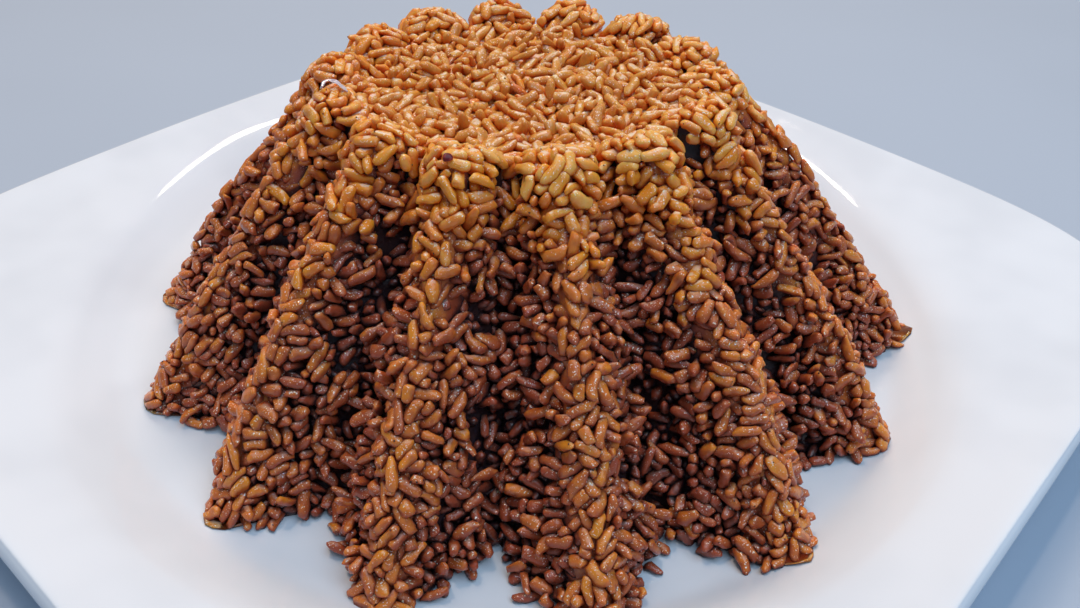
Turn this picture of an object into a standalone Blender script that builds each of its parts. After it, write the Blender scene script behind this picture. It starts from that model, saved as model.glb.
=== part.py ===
"""Plate of sayadieh: brown rice turned out of a fluted mould on to a square porcelain plate.

The origin is the middle of the plate's foot, on the table. X and Y run along the plate's sides and
Z is up. Lengths are in metres, and angles in radians unless a name says degrees.
"""

import math
import random

import bmesh
import bpy
from mathutils import Matrix, Vector
from mathutils.geometry import delaunay_2d_cdt

# The plate: a square with bowed sides and soft corners, around a round well.
RIM_HALF = 0.1464  # from the middle to the rim's crest, at the middle of a side
RIM_SQUARENESS = 5.5  # exponent of the crest's outline: 2 is a circle, and more is squarer
WELL_Z = 0.007  # the eating surface above the table
RIM_RISE = 0.0153  # the rim's crest above the eating surface
CORNER_DROP = 0.0020  # the crest is this much lower at the corners than along the sides
SHOULDER_RADIUS = 0.1275  # where the well's curved side meets the rim
WELL_SIDE_MM = ((0, 9.0), (5.6, 6.4), (10.5, 3.3), (15.5, 1.0), (20.5, 0))  # in from the shoulder, rise
RIM_BOW = (0.60, 0.66)  # share of the way out over the rim, and of its rise there
WALL = 0.0048
EDGE_ROLL = 0.0030  # how far the rolled edge stands out past the crest
EDGE_DEPTH = 0.0070  # from the crest down to the edge's lower lip
EDGE_SECTION = ((0.35, 1.0), (0.95, 0.72), (1.0, 0.38), (0.62, 0.08), (0.0, 0.0))  # of roll and depth
UNDER_WELL_SIDE = (0.0024, 0.0046)  # the underside of the well's side lies this far out, and down
UNDER_RIM = 0.0080  # and the rim's underside this far below its crest
FOOT_RADIUS = 0.0960
FOOT_WIDTH = 0.0060
FOOT_RECESS = 0.0024  # the underside inside the foot, above the table
FOOT_BEVEL = 0.0012
PLATE_COLUMNS = 88

# The rice: the print of a mould with straight flutes, each ending in a round knob at the top.
RICE_X = -0.0010  # the mound stands a little off the plate's middle
RICE_Y = -0.0065
RICE_SINK = 0.0010  # the mould's edge, before the mound settled, would be this far below the well
REST_GAP = 0.0003
LEAN = math.radians(2.23)  # the nearest flutes stand on the well's side, so the mound leans
LEAN_AZIMUTH = math.radians(69.5)  # towards this side
FLUTES = 14
FLUTE_AZIMUTH = math.radians(-128.1)  # of one flute's crest
SIDE_HEIGHT = 0.0745  # where the flutes stop and the knobs begin
CREST_LOW = 0.1125  # radius of the crests at the foot
CREST_STRAY_MM = (0, 1.5, -3, 2, 0.5, -1, 1, 0, -0.5, 1, -1, -3, -1.5, -1)  # of each flute's foot
CREST_HIGH = 0.0580  # and at the top of the side
CREST_BOW = 0.0026  # how far the crests bulge from a straight line
GROOVE_LOW = 0.0920
GROOVE_HIGH = 0.0450
GROOVE_BOW = 0.0012
CREST_SOFTNESS = 0.15  # roundness of a crest: 0 is a sharp edge
TOP_Z = 0.0765  # the sunken top above the foot of the mound
TOP_RADIUS = 0.0390  # the sunken top, inside the knobs
KNOB_RISE = 0.0056
KNOB_WIDTH = 0.90  # share of a flute's pitch
KNOB_START = 0.80  # share of the side's height where a flute starts to round into its knob
KNOB_ROUNDNESS = 0.8
KNOB_ROWS = ((0.16, 0.72), (0.46, 1.0))  # share of the way in to the sunken top, share of the rise
FOOT_TUCK = 0.0022  # how far the lowest grains stand in from the mould's edge
FOOT_STEPS = 12  # steps down or up to the plate, from the mould's edge
FOOT_STEP = 0.7  # share of the way still to go that each step takes
UNDERSIDE_SHARE = 0.94  # the flat underside reaches this far out, and no further than the well's flat

# The grains, too fine to be fused on one by one: the surface has bumps of about their size.
GRAIN_PITCH = 0.0043  # between rows of bumps, down the side and over the top
COLUMNS_PER_FLUTE = 12
SIDE_ROWS = 24
JITTER = 0.20  # how far a bump strays from its place, as a share of the pitch
BUMP_ON_CREST = 0.00045
BUMP_IN_GROOVE = 0.0010
BUMP_ON_TOP = 0.00055
BUMP_SPREAD = (0.4, 1.5)  # lowest and highest bump, as shares of those heights
TOP_SPREAD = (-1.6, 1.2)  # and on the sunken top, which is rougher
TOP_MARGIN = 0.6  # in pitches, from the sunken top's edge to its nearest bump
UNEVEN = 0.0008  # slow swells of the whole surface
HOLLOW_DEPTH = 0.0042  # where grains have fallen out of a groove
HOLLOW_LENGTH = 0.0070
HOLLOW_WIDTH = 0.0045
HOLLOW_SPREAD = (0.35, 1.0)  # shallowest and deepest hollow, as shares of that depth
HOLLOWS_FROM = 0.30  # share of the side's height
HOLLOWS_TO = 0.92
HOLLOWS_PER_GROOVE = 3
SEED = 1407


def clear_scene():
    for obj in list(bpy.data.objects):
        bpy.data.objects.remove(obj)


def principled(name, colour, roughness, coat=0.0):
    """A material with one Principled shader, set from the food's or the glaze's own colour."""
    material = bpy.data.materials.new(name)
    material.use_nodes = True
    shader = material.node_tree.nodes["Principled BSDF"]
    shader.inputs["Base Color"].default_value = (*colour, 1.0)
    shader.inputs["Roughness"].default_value = roughness
    shader.inputs["Metallic"].default_value = 0.0
    shader.inputs["Coat Weight"].default_value = coat
    material.diffuse_color = (*colour, 1.0)
    return material


def add_object(name, mesh_data, material):
    mesh = bpy.data.meshes.new(name)
    mesh_data.to_mesh(mesh)
    mesh_data.free()
    mesh.materials.append(material)
    obj = bpy.data.objects.new(name, mesh)
    bpy.context.scene.collection.objects.link(obj)
    return obj


def polar_vertex(mesh, radius, azimuth, z):
    return mesh.verts.new((radius * math.cos(azimuth), radius * math.sin(azimuth), z))


def quad_band(mesh, lower, upper):
    """Joins two rings of as many vertices with quads that face out when the rings turn anticlockwise."""
    count = len(lower)
    for i in range(count):
        j = (i + 1) % count
        mesh.faces.new((lower[i], lower[j], upper[j], upper[i]))


def fan(mesh, ring, middle, faces_up):
    """Closes a ring with triangles to one vertex in its middle."""
    count = len(ring)
    for i in range(count):
        j = (i + 1) % count
        corners = (ring[i], ring[j], middle) if faces_up else (ring[j], ring[i], middle)
        mesh.faces.new(corners)


# ---------------------------------------------------------------- plate


def rim_radius(azimuth):
    """The rim's crest in this direction: a superellipse, so the sides bow and the corners are soft."""
    along = abs(math.cos(azimuth)) ** RIM_SQUARENESS
    across = abs(math.sin(azimuth)) ** RIM_SQUARENESS
    return RIM_HALF / (along + across) ** (1 / RIM_SQUARENESS)


def plate_profile():
    """Rings from the underside's middle out over the rim to the well's middle.

    Each ring is (radius, share, overhang, z): share 0 is a circle of that radius, share 1 the rim's
    crest plus the overhang, and between them the ring is that far from the shoulder to the crest.
    """
    crest = WELL_Z + RIM_RISE
    well_side = [(SHOULDER_RADIUS - inward / 1000, WELL_Z + rise / 1000) for inward, rise in WELL_SIDE_MM]
    shoulder = well_side[0][1]
    foot_in = FOOT_RADIUS - FOOT_WIDTH / 2
    foot_out = FOOT_RADIUS + FOOT_WIDTH / 2
    bow_share, bow_rise = RIM_BOW
    under = [
        (foot_in - FOOT_BEVEL, 0.0, 0.0, FOOT_RECESS),
        (foot_in, 0.0, 0.0, 0.0),
        (foot_out, 0.0, 0.0, 0.0),
        (foot_out + FOOT_BEVEL, 0.0, 0.0, WELL_Z - WALL),
    ]
    outwards, down = UNDER_WELL_SIDE
    for radius, z in reversed(well_side[::2]):
        under.append((radius + outwards, 0.0, 0.0, z - down))
    under.append((SHOULDER_RADIUS, bow_share, 0.0, crest - UNDER_RIM))
    edge = []
    for roll, depth in EDGE_SECTION:
        edge.append((SHOULDER_RADIUS, 1.0, EDGE_ROLL * roll, crest - EDGE_DEPTH * depth))
    over = [(SHOULDER_RADIUS, bow_share, 0.0, shoulder + (crest - shoulder) * bow_rise)]
    for radius, z in well_side:
        over.append((radius, 0.0, 0.0, z))
    return under + edge + over


def plate_ring(mesh, radius, share, overhang, z):
    ring = []
    for column in range(PLATE_COLUMNS):
        azimuth = 2 * math.pi * column / PLATE_COLUMNS
        reach = radius + share * (rim_radius(azimuth) + overhang - radius)
        drop = CORNER_DROP * share * (1 - math.cos(4 * azimuth)) / 2
        ring.append(polar_vertex(mesh, reach, azimuth, z - drop))
    return ring


def plate_top(x, y):
    """Height of the plate's upper face there, from its middle to the shoulder."""
    inward = (SHOULDER_RADIUS - math.hypot(x, y) / math.cos(math.pi / PLATE_COLUMNS)) * 1000
    rise = 0.0
    for (near, high), (far, low) in zip(WELL_SIDE_MM, WELL_SIDE_MM[1:]):
        if inward < far:
            rise = max(rise, low + (high - low) * (far - inward) / (far - near))
    return WELL_Z + rise / 1000


def make_plate():
    mesh = bmesh.new()
    rings = [plate_ring(mesh, *station) for station in plate_profile()]
    for inner, outer in zip(rings, rings[1:]):
        quad_band(mesh, inner, outer)
    fan(mesh, rings[0], mesh.verts.new((0.0, 0.0, FOOT_RECESS)), faces_up=False)
    fan(mesh, rings[-1], mesh.verts.new((0.0, 0.0, WELL_Z)), faces_up=True)
    porcelain = principled("white_porcelain", (0.80, 0.82, 0.86), 0.12, coat=0.6)
    plate = add_object("plate", mesh, porcelain)
    plate.data.shade_smooth()
    plate.data.set_sharp_from_angle(angle=math.radians(40))
    return plate


# ---------------------------------------------------------------- rice


def bowed(low, high, bow, share):
    """A radius that runs from low to high, share 0 to 1, and bulges by bow half way up."""
    return low + (high - low) * share + 4 * bow * share * (1 - share)


def flute_turns(azimuth):
    """The azimuth counted in flutes, from the first flute's crest."""
    return (azimuth - FLUTE_AZIMUTH) * FLUTES / (2 * math.pi)


def from_crest(azimuth):
    """How far this direction is from its flute's crest: 0 on the crest and 1 in the groove."""
    turns = flute_turns(azimuth)
    return abs(turns - round(turns)) * 2


def crest_low(azimuth):
    """The foot of this direction's flute: the mould print spread unevenly as it was lifted off."""
    return CREST_LOW + CREST_STRAY_MM[round(flute_turns(azimuth)) % FLUTES] / 1000


def flute_height(across, share):
    """The flute's section, 1 on the crest and 0 in the groove: straight flanks that meet in a rounded
    crest, and near the top of the side the round of a knob."""
    soft = CREST_SOFTNESS
    straight = 1 - (math.hypot(across, soft) - soft) / (math.hypot(1, soft) - soft)
    full = math.sqrt(max(0.0, 1 - across * across))
    turn = max(0.0, (share - KNOB_START) / (1 - KNOB_START))
    return straight + (full - straight) * KNOB_ROUNDNESS * turn


def side_radius(azimuth, share):
    crest = bowed(crest_low(azimuth), CREST_HIGH, CREST_BOW, share)
    groove = bowed(GROOVE_LOW, GROOVE_HIGH, GROOVE_BOW, share)
    return groove + (crest - groove) * flute_height(from_crest(azimuth), share)


def knob_height(azimuth):
    across = from_crest(azimuth) / KNOB_WIDTH
    return KNOB_RISE * math.sqrt(max(0.0, 1 - across * across))


def hollow_places(rng):
    """Where grains are missing from the grooves: (azimuth, height share, depth), a few in each groove."""
    places = []
    for groove in range(FLUTES):
        azimuth = FLUTE_AZIMUTH + (groove + 0.5) * 2 * math.pi / FLUTES
        for step in range(HOLLOWS_PER_GROOVE):
            along = (step + rng.random()) / HOLLOWS_PER_GROOVE
            share = HOLLOWS_FROM + (HOLLOWS_TO - HOLLOWS_FROM) * along
            places.append((azimuth, share, HOLLOW_DEPTH * rng.uniform(*HOLLOW_SPREAD)))
    return places


def hollow_depth(places, azimuth, share, radius):
    depth = 0.0
    slant = math.hypot(SIDE_HEIGHT, CREST_LOW - CREST_HIGH)
    for place_azimuth, place_share, place_depth in places:
        aside = math.remainder(azimuth - place_azimuth, 2 * math.pi) * radius / HOLLOW_WIDTH
        along = (share - place_share) * slant / HOLLOW_LENGTH
        depth = max(depth, place_depth * math.exp(-aside * aside - along * along))
    return depth


def swell(azimuth, share):
    """Slow unevenness of a mound that was pressed by hand, worked out from a few waves."""
    return UNEVEN * (
        math.sin(5 * azimuth + 7 * share + 0.6)
        + 0.7 * math.sin(11 * azimuth - 12 * share + 2.1)
        + 0.5 * math.sin(23 * azimuth + 19 * share)
    )


def set_down(radius, azimuth, height):
    """A point given from the mould's own axis and foot, as a point of the leaning mound."""
    axis = Vector((-math.sin(LEAN_AZIMUTH), math.cos(LEAN_AZIMUTH), 0.0))
    upright = Vector((radius * math.cos(azimuth), radius * math.sin(azimuth), height))
    return Matrix.Rotation(LEAN, 3, axis) @ upright + Vector((RICE_X, RICE_Y, WELL_Z - RICE_SINK))


def rice_vertex(mesh, radius, azimuth, height, on_plate=False):
    """A vertex of the mound that stays clear of the plate, or lies as close to it as it may."""
    point = set_down(radius, azimuth, height)
    rest = plate_top(point.x, point.y) + REST_GAP
    point.z = rest if on_plate else max(point.z, rest)
    return mesh.verts.new(point)


def foot_share(azimuth):
    """Share of the side's height at which this direction meets the plate: below 0 is past the mould."""
    share = 0.0
    for _ in range(FOOT_STEPS):
        point = set_down(side_radius(azimuth, share), azimuth, SIDE_HEIGHT * share)
        above = point.z - plate_top(point.x, point.y) - REST_GAP
        share -= FOOT_STEP * above / SIDE_HEIGHT
    return share


def side_rings(mesh, rng, places):
    """The rows of the fluted side. Every second vertex of a row is a bump, and rows alternate."""
    columns = FLUTES * COLUMNS_PER_FLUTE
    column_angle = 2 * math.pi / columns
    slope = math.atan2(CREST_LOW - CREST_HIGH, SIDE_HEIGHT)
    rings = []
    feet = [foot_share(FLUTE_AZIMUTH + column_angle * column) for column in range(columns)]
    for row in range(SIDE_ROWS):
        ring = []
        for column in range(columns):
            share = feet[column] + (1 - feet[column]) * row / (SIDE_ROWS - 1)
            azimuth = FLUTE_AZIMUTH + column_angle * column
            radius = side_radius(azimuth, share)
            bump = BUMP_ON_CREST + (BUMP_IN_GROOVE - BUMP_ON_CREST) * from_crest(azimuth)
            out = bump * rng.uniform(*BUMP_SPREAD) * (1 if (row + column) % 2 else -1)
            out += swell(azimuth, share) - hollow_depth(places, azimuth, share, radius)
            radius += out * math.cos(slope)
            height = SIDE_HEIGHT * share + out * math.sin(slope)
            azimuth += rng.uniform(-JITTER, JITTER) * column_angle
            height += rng.uniform(-JITTER, JITTER) * GRAIN_PITCH
            if row == 0:
                radius -= FOOT_TUCK
            ring.append(rice_vertex(mesh, radius, azimuth, height, on_plate=row == 0))
        rings.append(ring)
    return rings


def underside(mesh, foot):
    """Closes the mound below: in along the well's side to its flat, and flat from there."""
    flat_radius = SHOULDER_RADIUS - WELL_SIDE_MM[-1][0] / 1000
    ring = []
    for vertex in foot:
        radius = math.hypot(vertex.co.x, vertex.co.y)
        share = min(UNDERSIDE_SHARE, flat_radius / radius)
        ring.append(mesh.verts.new((vertex.co.x * share, vertex.co.y * share, WELL_Z + REST_GAP)))
    quad_band(mesh, foot, ring)
    fan(mesh, ring, mesh.verts.new((0.0, 0.0, WELL_Z + REST_GAP)), faces_up=False)


def bumpy_band(mesh, lower, upper, row):
    """Triangles between two rows, each quad split between its two low corners so that bumps stay apart."""
    count = len(lower)
    for i in range(count):
        j = (i + 1) % count
        if (row + i) % 2:
            mesh.faces.new((lower[i], lower[j], upper[i]))
            mesh.faces.new((lower[j], upper[j], upper[i]))
        else:
            mesh.faces.new((lower[i], lower[j], upper[j]))
            mesh.faces.new((lower[i], upper[j], upper[i]))


def knob_ring(mesh, rng, inward, rise, stride):
    """A row over the knobs: inward 0 is the top of the side, 1 the edge of the sunken top."""
    columns = FLUTES * COLUMNS_PER_FLUTE
    ring = []
    for column in range(0, columns, stride):
        azimuth = FLUTE_AZIMUTH + 2 * math.pi * column / columns
        outer = side_radius(azimuth, 1.0)
        radius = outer + (TOP_RADIUS - outer) * inward
        floor = SIDE_HEIGHT + (TOP_Z - SIDE_HEIGHT) * min(1.0, 2 * inward)
        z = floor + knob_height(azimuth) * rise + BUMP_ON_TOP * rng.uniform(-1, 1)
        ring.append(rice_vertex(mesh, radius, azimuth, z))
    return ring


def halving_band(mesh, outer, inner):
    """Joins a ring to one inside it with half as many vertices."""
    count = len(inner)
    for i in range(count):
        j = (i + 1) % count
        left, middle, right = outer[2 * i], outer[2 * i + 1], outer[(2 * i + 2) % len(outer)]
        mesh.faces.new((left, middle, inner[i]))
        mesh.faces.new((middle, inner[j], inner[i]))
        mesh.faces.new((middle, right, inner[j]))


def sunken_top(mesh, rng, ring):
    """Fills the ring with triangles over points spread at a grain's pitch, each a bump or a dip."""
    inside = []
    row_step = GRAIN_PITCH * math.sqrt(3) / 2
    rows = int(TOP_RADIUS / row_step)
    for row in range(-rows, rows + 1):
        for column in range(-rows - 1, rows + 2):
            x = (column + 0.5 * (row % 2) + rng.uniform(-JITTER, JITTER)) * GRAIN_PITCH
            y = row * row_step + rng.uniform(-JITTER, JITTER) * GRAIN_PITCH
            z = TOP_Z + BUMP_ON_TOP * rng.uniform(*TOP_SPREAD)
            if math.hypot(x, y) < TOP_RADIUS - TOP_MARGIN * GRAIN_PITCH:
                inside.append(rice_vertex(mesh, math.hypot(x, y), math.atan2(y, x), z))
    vertices = ring + inside
    flat = [Vector((v.co.x, v.co.y)) for v in vertices]
    border = [(i, (i + 1) % len(ring)) for i in range(len(ring))]
    inside_of_border = 1
    triangles = delaunay_2d_cdt(flat, border, [], inside_of_border, 1e-7)[2]
    for triangle in triangles:
        mesh.faces.new([vertices[i] for i in triangle])


def make_rice():
    rng = random.Random(SEED)
    mesh = bmesh.new()
    places = hollow_places(rng)
    rings = side_rings(mesh, rng, places)
    for inward, rise in KNOB_ROWS:
        rings.append(knob_ring(mesh, rng, inward, rise, stride=1))
    for row, (lower, upper) in enumerate(zip(rings, rings[1:])):
        bumpy_band(mesh, lower, upper, row)
    edge = knob_ring(mesh, rng, inward=1.0, rise=0.0, stride=2)
    halving_band(mesh, rings[-1], edge)
    sunken_top(mesh, rng, edge)
    underside(mesh, rings[0])
    bmesh.ops.recalc_face_normals(mesh, faces=mesh.faces)
    brown_rice = principled("brown_rice", (0.33, 0.13, 0.045), 0.34, coat=0.3)
    rice = add_object("rice", mesh, brown_rice)
    rice.data.shade_smooth()
    return rice


clear_scene()
make_plate()
make_rice()
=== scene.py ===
"""Plate of sayadieh: brown rice turned out of a fluted mould on to a square porcelain plate.

Metres, +Z up. The origin is the middle of the plate's foot, and X and Y run along the plate's sides.
"""

import math

import bpy
import numpy as np
from mathutils import Matrix, Vector


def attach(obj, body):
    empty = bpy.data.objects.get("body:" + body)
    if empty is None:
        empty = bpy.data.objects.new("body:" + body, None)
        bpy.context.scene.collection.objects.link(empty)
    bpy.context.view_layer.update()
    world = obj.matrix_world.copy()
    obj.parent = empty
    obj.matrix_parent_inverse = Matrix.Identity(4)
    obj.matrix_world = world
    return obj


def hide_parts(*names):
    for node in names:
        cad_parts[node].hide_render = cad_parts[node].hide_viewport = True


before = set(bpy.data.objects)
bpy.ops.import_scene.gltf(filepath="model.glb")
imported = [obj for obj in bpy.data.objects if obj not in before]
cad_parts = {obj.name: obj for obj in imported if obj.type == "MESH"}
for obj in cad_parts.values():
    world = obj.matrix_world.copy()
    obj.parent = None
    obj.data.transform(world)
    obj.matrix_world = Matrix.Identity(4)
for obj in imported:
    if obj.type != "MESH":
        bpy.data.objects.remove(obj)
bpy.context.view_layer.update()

# ------------------------------------------------------------------------------------- plate
# The plate is one piece of glazed white porcelain: a square with bowed sides and soft corners
# around a round well. It is fired on an unglazed foot ring, which the table touches.

RIM_HALF = 0.1464  # from the middle to the rim's crest, at the middle of a side
RIM_SQUARENESS = 5.5  # exponent of the crest's outline: 2 is a circle, and more is squarer
CORNER_DROP = 0.0020  # the crest is this much lower at the corners
WELL_Z = 0.007  # the eating surface above the table
RIM_RISE = 0.0153
WELL_RADIUS = 0.1070
SHOULDER_RADIUS = 0.1275
SHOULDER_RISE = 0.0090
PLATE_WALL = 0.0048
EDGE_ROLL = 0.0030
EDGE_DEPTH = 0.0070
FOOT_RADIUS = 0.0960
FOOT_WIDTH = 0.0060
FOOT_RECESS = 0.0024
PLATE_COLUMNS = 288
STEPS_PER_STATION = 5
MERGE_WITHIN = 1e-6
GLAZE = (0.80, 0.815, 0.86)
GLAZE_THIN = (0.74, 0.755, 0.80)  # where the glaze pools less
BARE_CLAY = (0.62, 0.58, 0.52)
CLAY_BAND = (0.0007, 0.0003)  # heights over which the foot's glaze thins to bare clay
CLOUDS = 26.0  # pools of the glaze, patches of gloss and ripples, per metre
GLOSS_PATCHES = 140.0
RIPPLES = 60.0
RIPPLE_DEPTH = 0.0003


def plug_in(tree, node, inputs):
    """Sets a node's sockets, by name or number, to values, or links them to outputs."""
    for key, value in inputs.items():
        sockets = [s for s in node.inputs if s.enabled]
        socket = sockets[key] if isinstance(key, int) else next(s for s in sockets if s.name == key)
        if isinstance(value, bpy.types.NodeSocket):
            tree.links.new(value, socket)
        else:
            socket.default_value = value


def add_node(tree, kind, inputs=None, **settings):
    """A node with its settings made first, and its sockets then plugged in."""
    node = tree.nodes.new(kind)
    for name, value in settings.items():
        setattr(node, name, value)
    plug_in(tree, node, inputs or {})
    return node


def math_node(tree, operation, *values):
    """The output of a Math node on up to three numbers or sockets."""
    return add_node(tree, "ShaderNodeMath", dict(enumerate(values)), operation=operation).outputs[0]


def new_growth(name, sizes):
    """An empty geometry tree with named inputs, and its input and output nodes."""
    tree = bpy.data.node_groups.new(name, "GeometryNodeTree")
    tree.interface.new_socket("Geometry", in_out="INPUT", socket_type="NodeSocketGeometry")
    for label, kind in sizes:
        tree.interface.new_socket(label, in_out="INPUT", socket_type="NodeSocket" + kind)
    tree.interface.new_socket("Geometry", in_out="OUTPUT", socket_type="NodeSocketGeometry")
    return tree, tree.nodes.new("NodeGroupInput").outputs, tree.nodes.new("NodeGroupOutput")


def end_growth(tree, geometry, material, made):
    """Shades the geometry smooth, gives it the material and hands it to the tree's output."""
    smooth = add_node(tree, "GeometryNodeSetShadeSmooth", {"Geometry": geometry}).outputs[0]
    dressed = add_node(tree, "GeometryNodeSetMaterial", {"Geometry": smooth, "Material": material})
    tree.links.new(dressed.outputs[0], made.inputs[0])


def grown(name, base, tree, sizes):
    """The plain mesh object that the tree makes of base, with its modifier gone."""
    seedling = bpy.data.objects.new(name + "_base", base)
    bpy.context.scene.collection.objects.link(seedling)
    growth = seedling.modifiers.new("growth", "NODES")
    growth.node_group = tree
    for item in tree.interface.items_tree:
        if item.in_out == "INPUT" and item.name in sizes:
            growth[item.identifier] = sizes[item.name]
    evaluated = seedling.evaluated_get(bpy.context.evaluated_depsgraph_get())
    mesh = bpy.data.meshes.new_from_object(evaluated)
    mesh.name = name
    bpy.data.objects.remove(seedling)
    piece = bpy.data.objects.new(name, mesh)
    bpy.context.scene.collection.objects.link(piece)
    return piece


def plate_stations():
    """Rings from the underside's middle over the rim to the well's middle.

    Each is (radius, share, overhang, z): share 0 is a circle of that radius, and share 1 the rim's
    crest plus the overhang.
    """
    crest = WELL_Z + RIM_RISE
    shoulder = WELL_Z + SHOULDER_RISE
    underside = WELL_Z - PLATE_WALL
    foot_in = FOOT_RADIUS - FOOT_WIDTH / 2
    foot_out = FOOT_RADIUS + FOOT_WIDTH / 2
    foot_bevel = 0.0012
    foot_round = 0.0004
    foot = [
        (0.0, 0.0, 0.0, FOOT_RECESS),
        (foot_in - foot_bevel, 0.0, 0.0, FOOT_RECESS),
        (foot_in - foot_round, 0.0, 0.0, foot_round),
        (foot_in + foot_round, 0.0, 0.0, 0.0),
        (foot_out - foot_round, 0.0, 0.0, 0.0),
        (foot_out + foot_round, 0.0, 0.0, foot_round),
    ]
    body = [
        (foot_out + foot_bevel, 0.0, 0.0, underside),
        (WELL_RADIUS + 0.0024, 0.0, 0.0, underside + 0.0002),
        (SHOULDER_RADIUS - 0.0081, 0.0, 0.0, underside + 0.0035),
        (SHOULDER_RADIUS + 0.0024, 0.0, 0.0, shoulder - PLATE_WALL * 0.95),
        (SHOULDER_RADIUS, 0.60, 0.0, crest - EDGE_DEPTH - 0.0010),
        (SHOULDER_RADIUS, 1.0, EDGE_ROLL * 0.30, crest - EDGE_DEPTH),
        (SHOULDER_RADIUS, 1.0, EDGE_ROLL * 0.90, crest - EDGE_DEPTH * 0.72),
        (SHOULDER_RADIUS, 1.0, EDGE_ROLL * 0.95, crest - EDGE_DEPTH * 0.38),
        (SHOULDER_RADIUS, 1.0, EDGE_ROLL * 0.60, crest - EDGE_DEPTH * 0.08),
        (SHOULDER_RADIUS, 1.0, 0.0, crest),
        (SHOULDER_RADIUS, 0.60, 0.0, shoulder + (crest - shoulder) * 0.66),
        (SHOULDER_RADIUS, 0.15, 0.0, shoulder + 0.0016),
        (SHOULDER_RADIUS - 0.0018, 0.0, 0.0, shoulder - 0.0006),
        (SHOULDER_RADIUS - 0.0085, 0.0, 0.0, WELL_Z + 0.0046),
        (SHOULDER_RADIUS - 0.0150, 0.0, 0.0, WELL_Z + 0.0012),
        (WELL_RADIUS - 0.0010, 0.0, 0.0, WELL_Z),
    ]
    well = [(WELL_RADIUS * share, 0.0, 0.0, WELL_Z) for share in (0.9, 0.6, 0.3, 0.0)]
    return np.array(foot), np.array(body), np.array(well)


def through(stations, steps):
    """A smooth run through the stations: a Catmull-Rom curve, straight on past both ends."""
    ends = np.vstack((2 * stations[0] - stations[1], stations, 2 * stations[-1] - stations[-2]))
    rows = []
    for i in range(1, len(ends) - 2):
        before, start, end, after = ends[i - 1 : i + 3]
        for t in np.arange(steps) / steps:
            rows.append(
                start
                + 0.5 * t * (end - before)
                + t * t * (before - 2.5 * start + 2 * end - 0.5 * after)
                + 0.5 * t**3 * (3 * start - before - 3 * end + after)
            )
    return np.array(rows + [stations[-1]])


def label_points(mesh, name, values):
    """Gives each of a mesh's points a number or a vector, which trees and materials read."""
    vector = values.ndim == 2
    layer = mesh.attributes.new(name, "FLOAT_VECTOR" if vector else "FLOAT", "POINT")
    layer.data.foreach_set("vector" if vector else "value", values.astype(np.float32).ravel())


def plate_section():
    """The section as a mesh of loose points: x is the radius, y the overhang and z the height."""
    foot, body, well = plate_stations()
    rows = np.vstack((foot, through(body, STEPS_PER_STATION), well))
    mesh = bpy.data.meshes.new("plate_section")
    mesh.from_pydata(rows[:, (0, 2, 3)].tolist(), [], [])
    label_points(mesh, "share", rows[:, 1])
    return mesh


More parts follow.
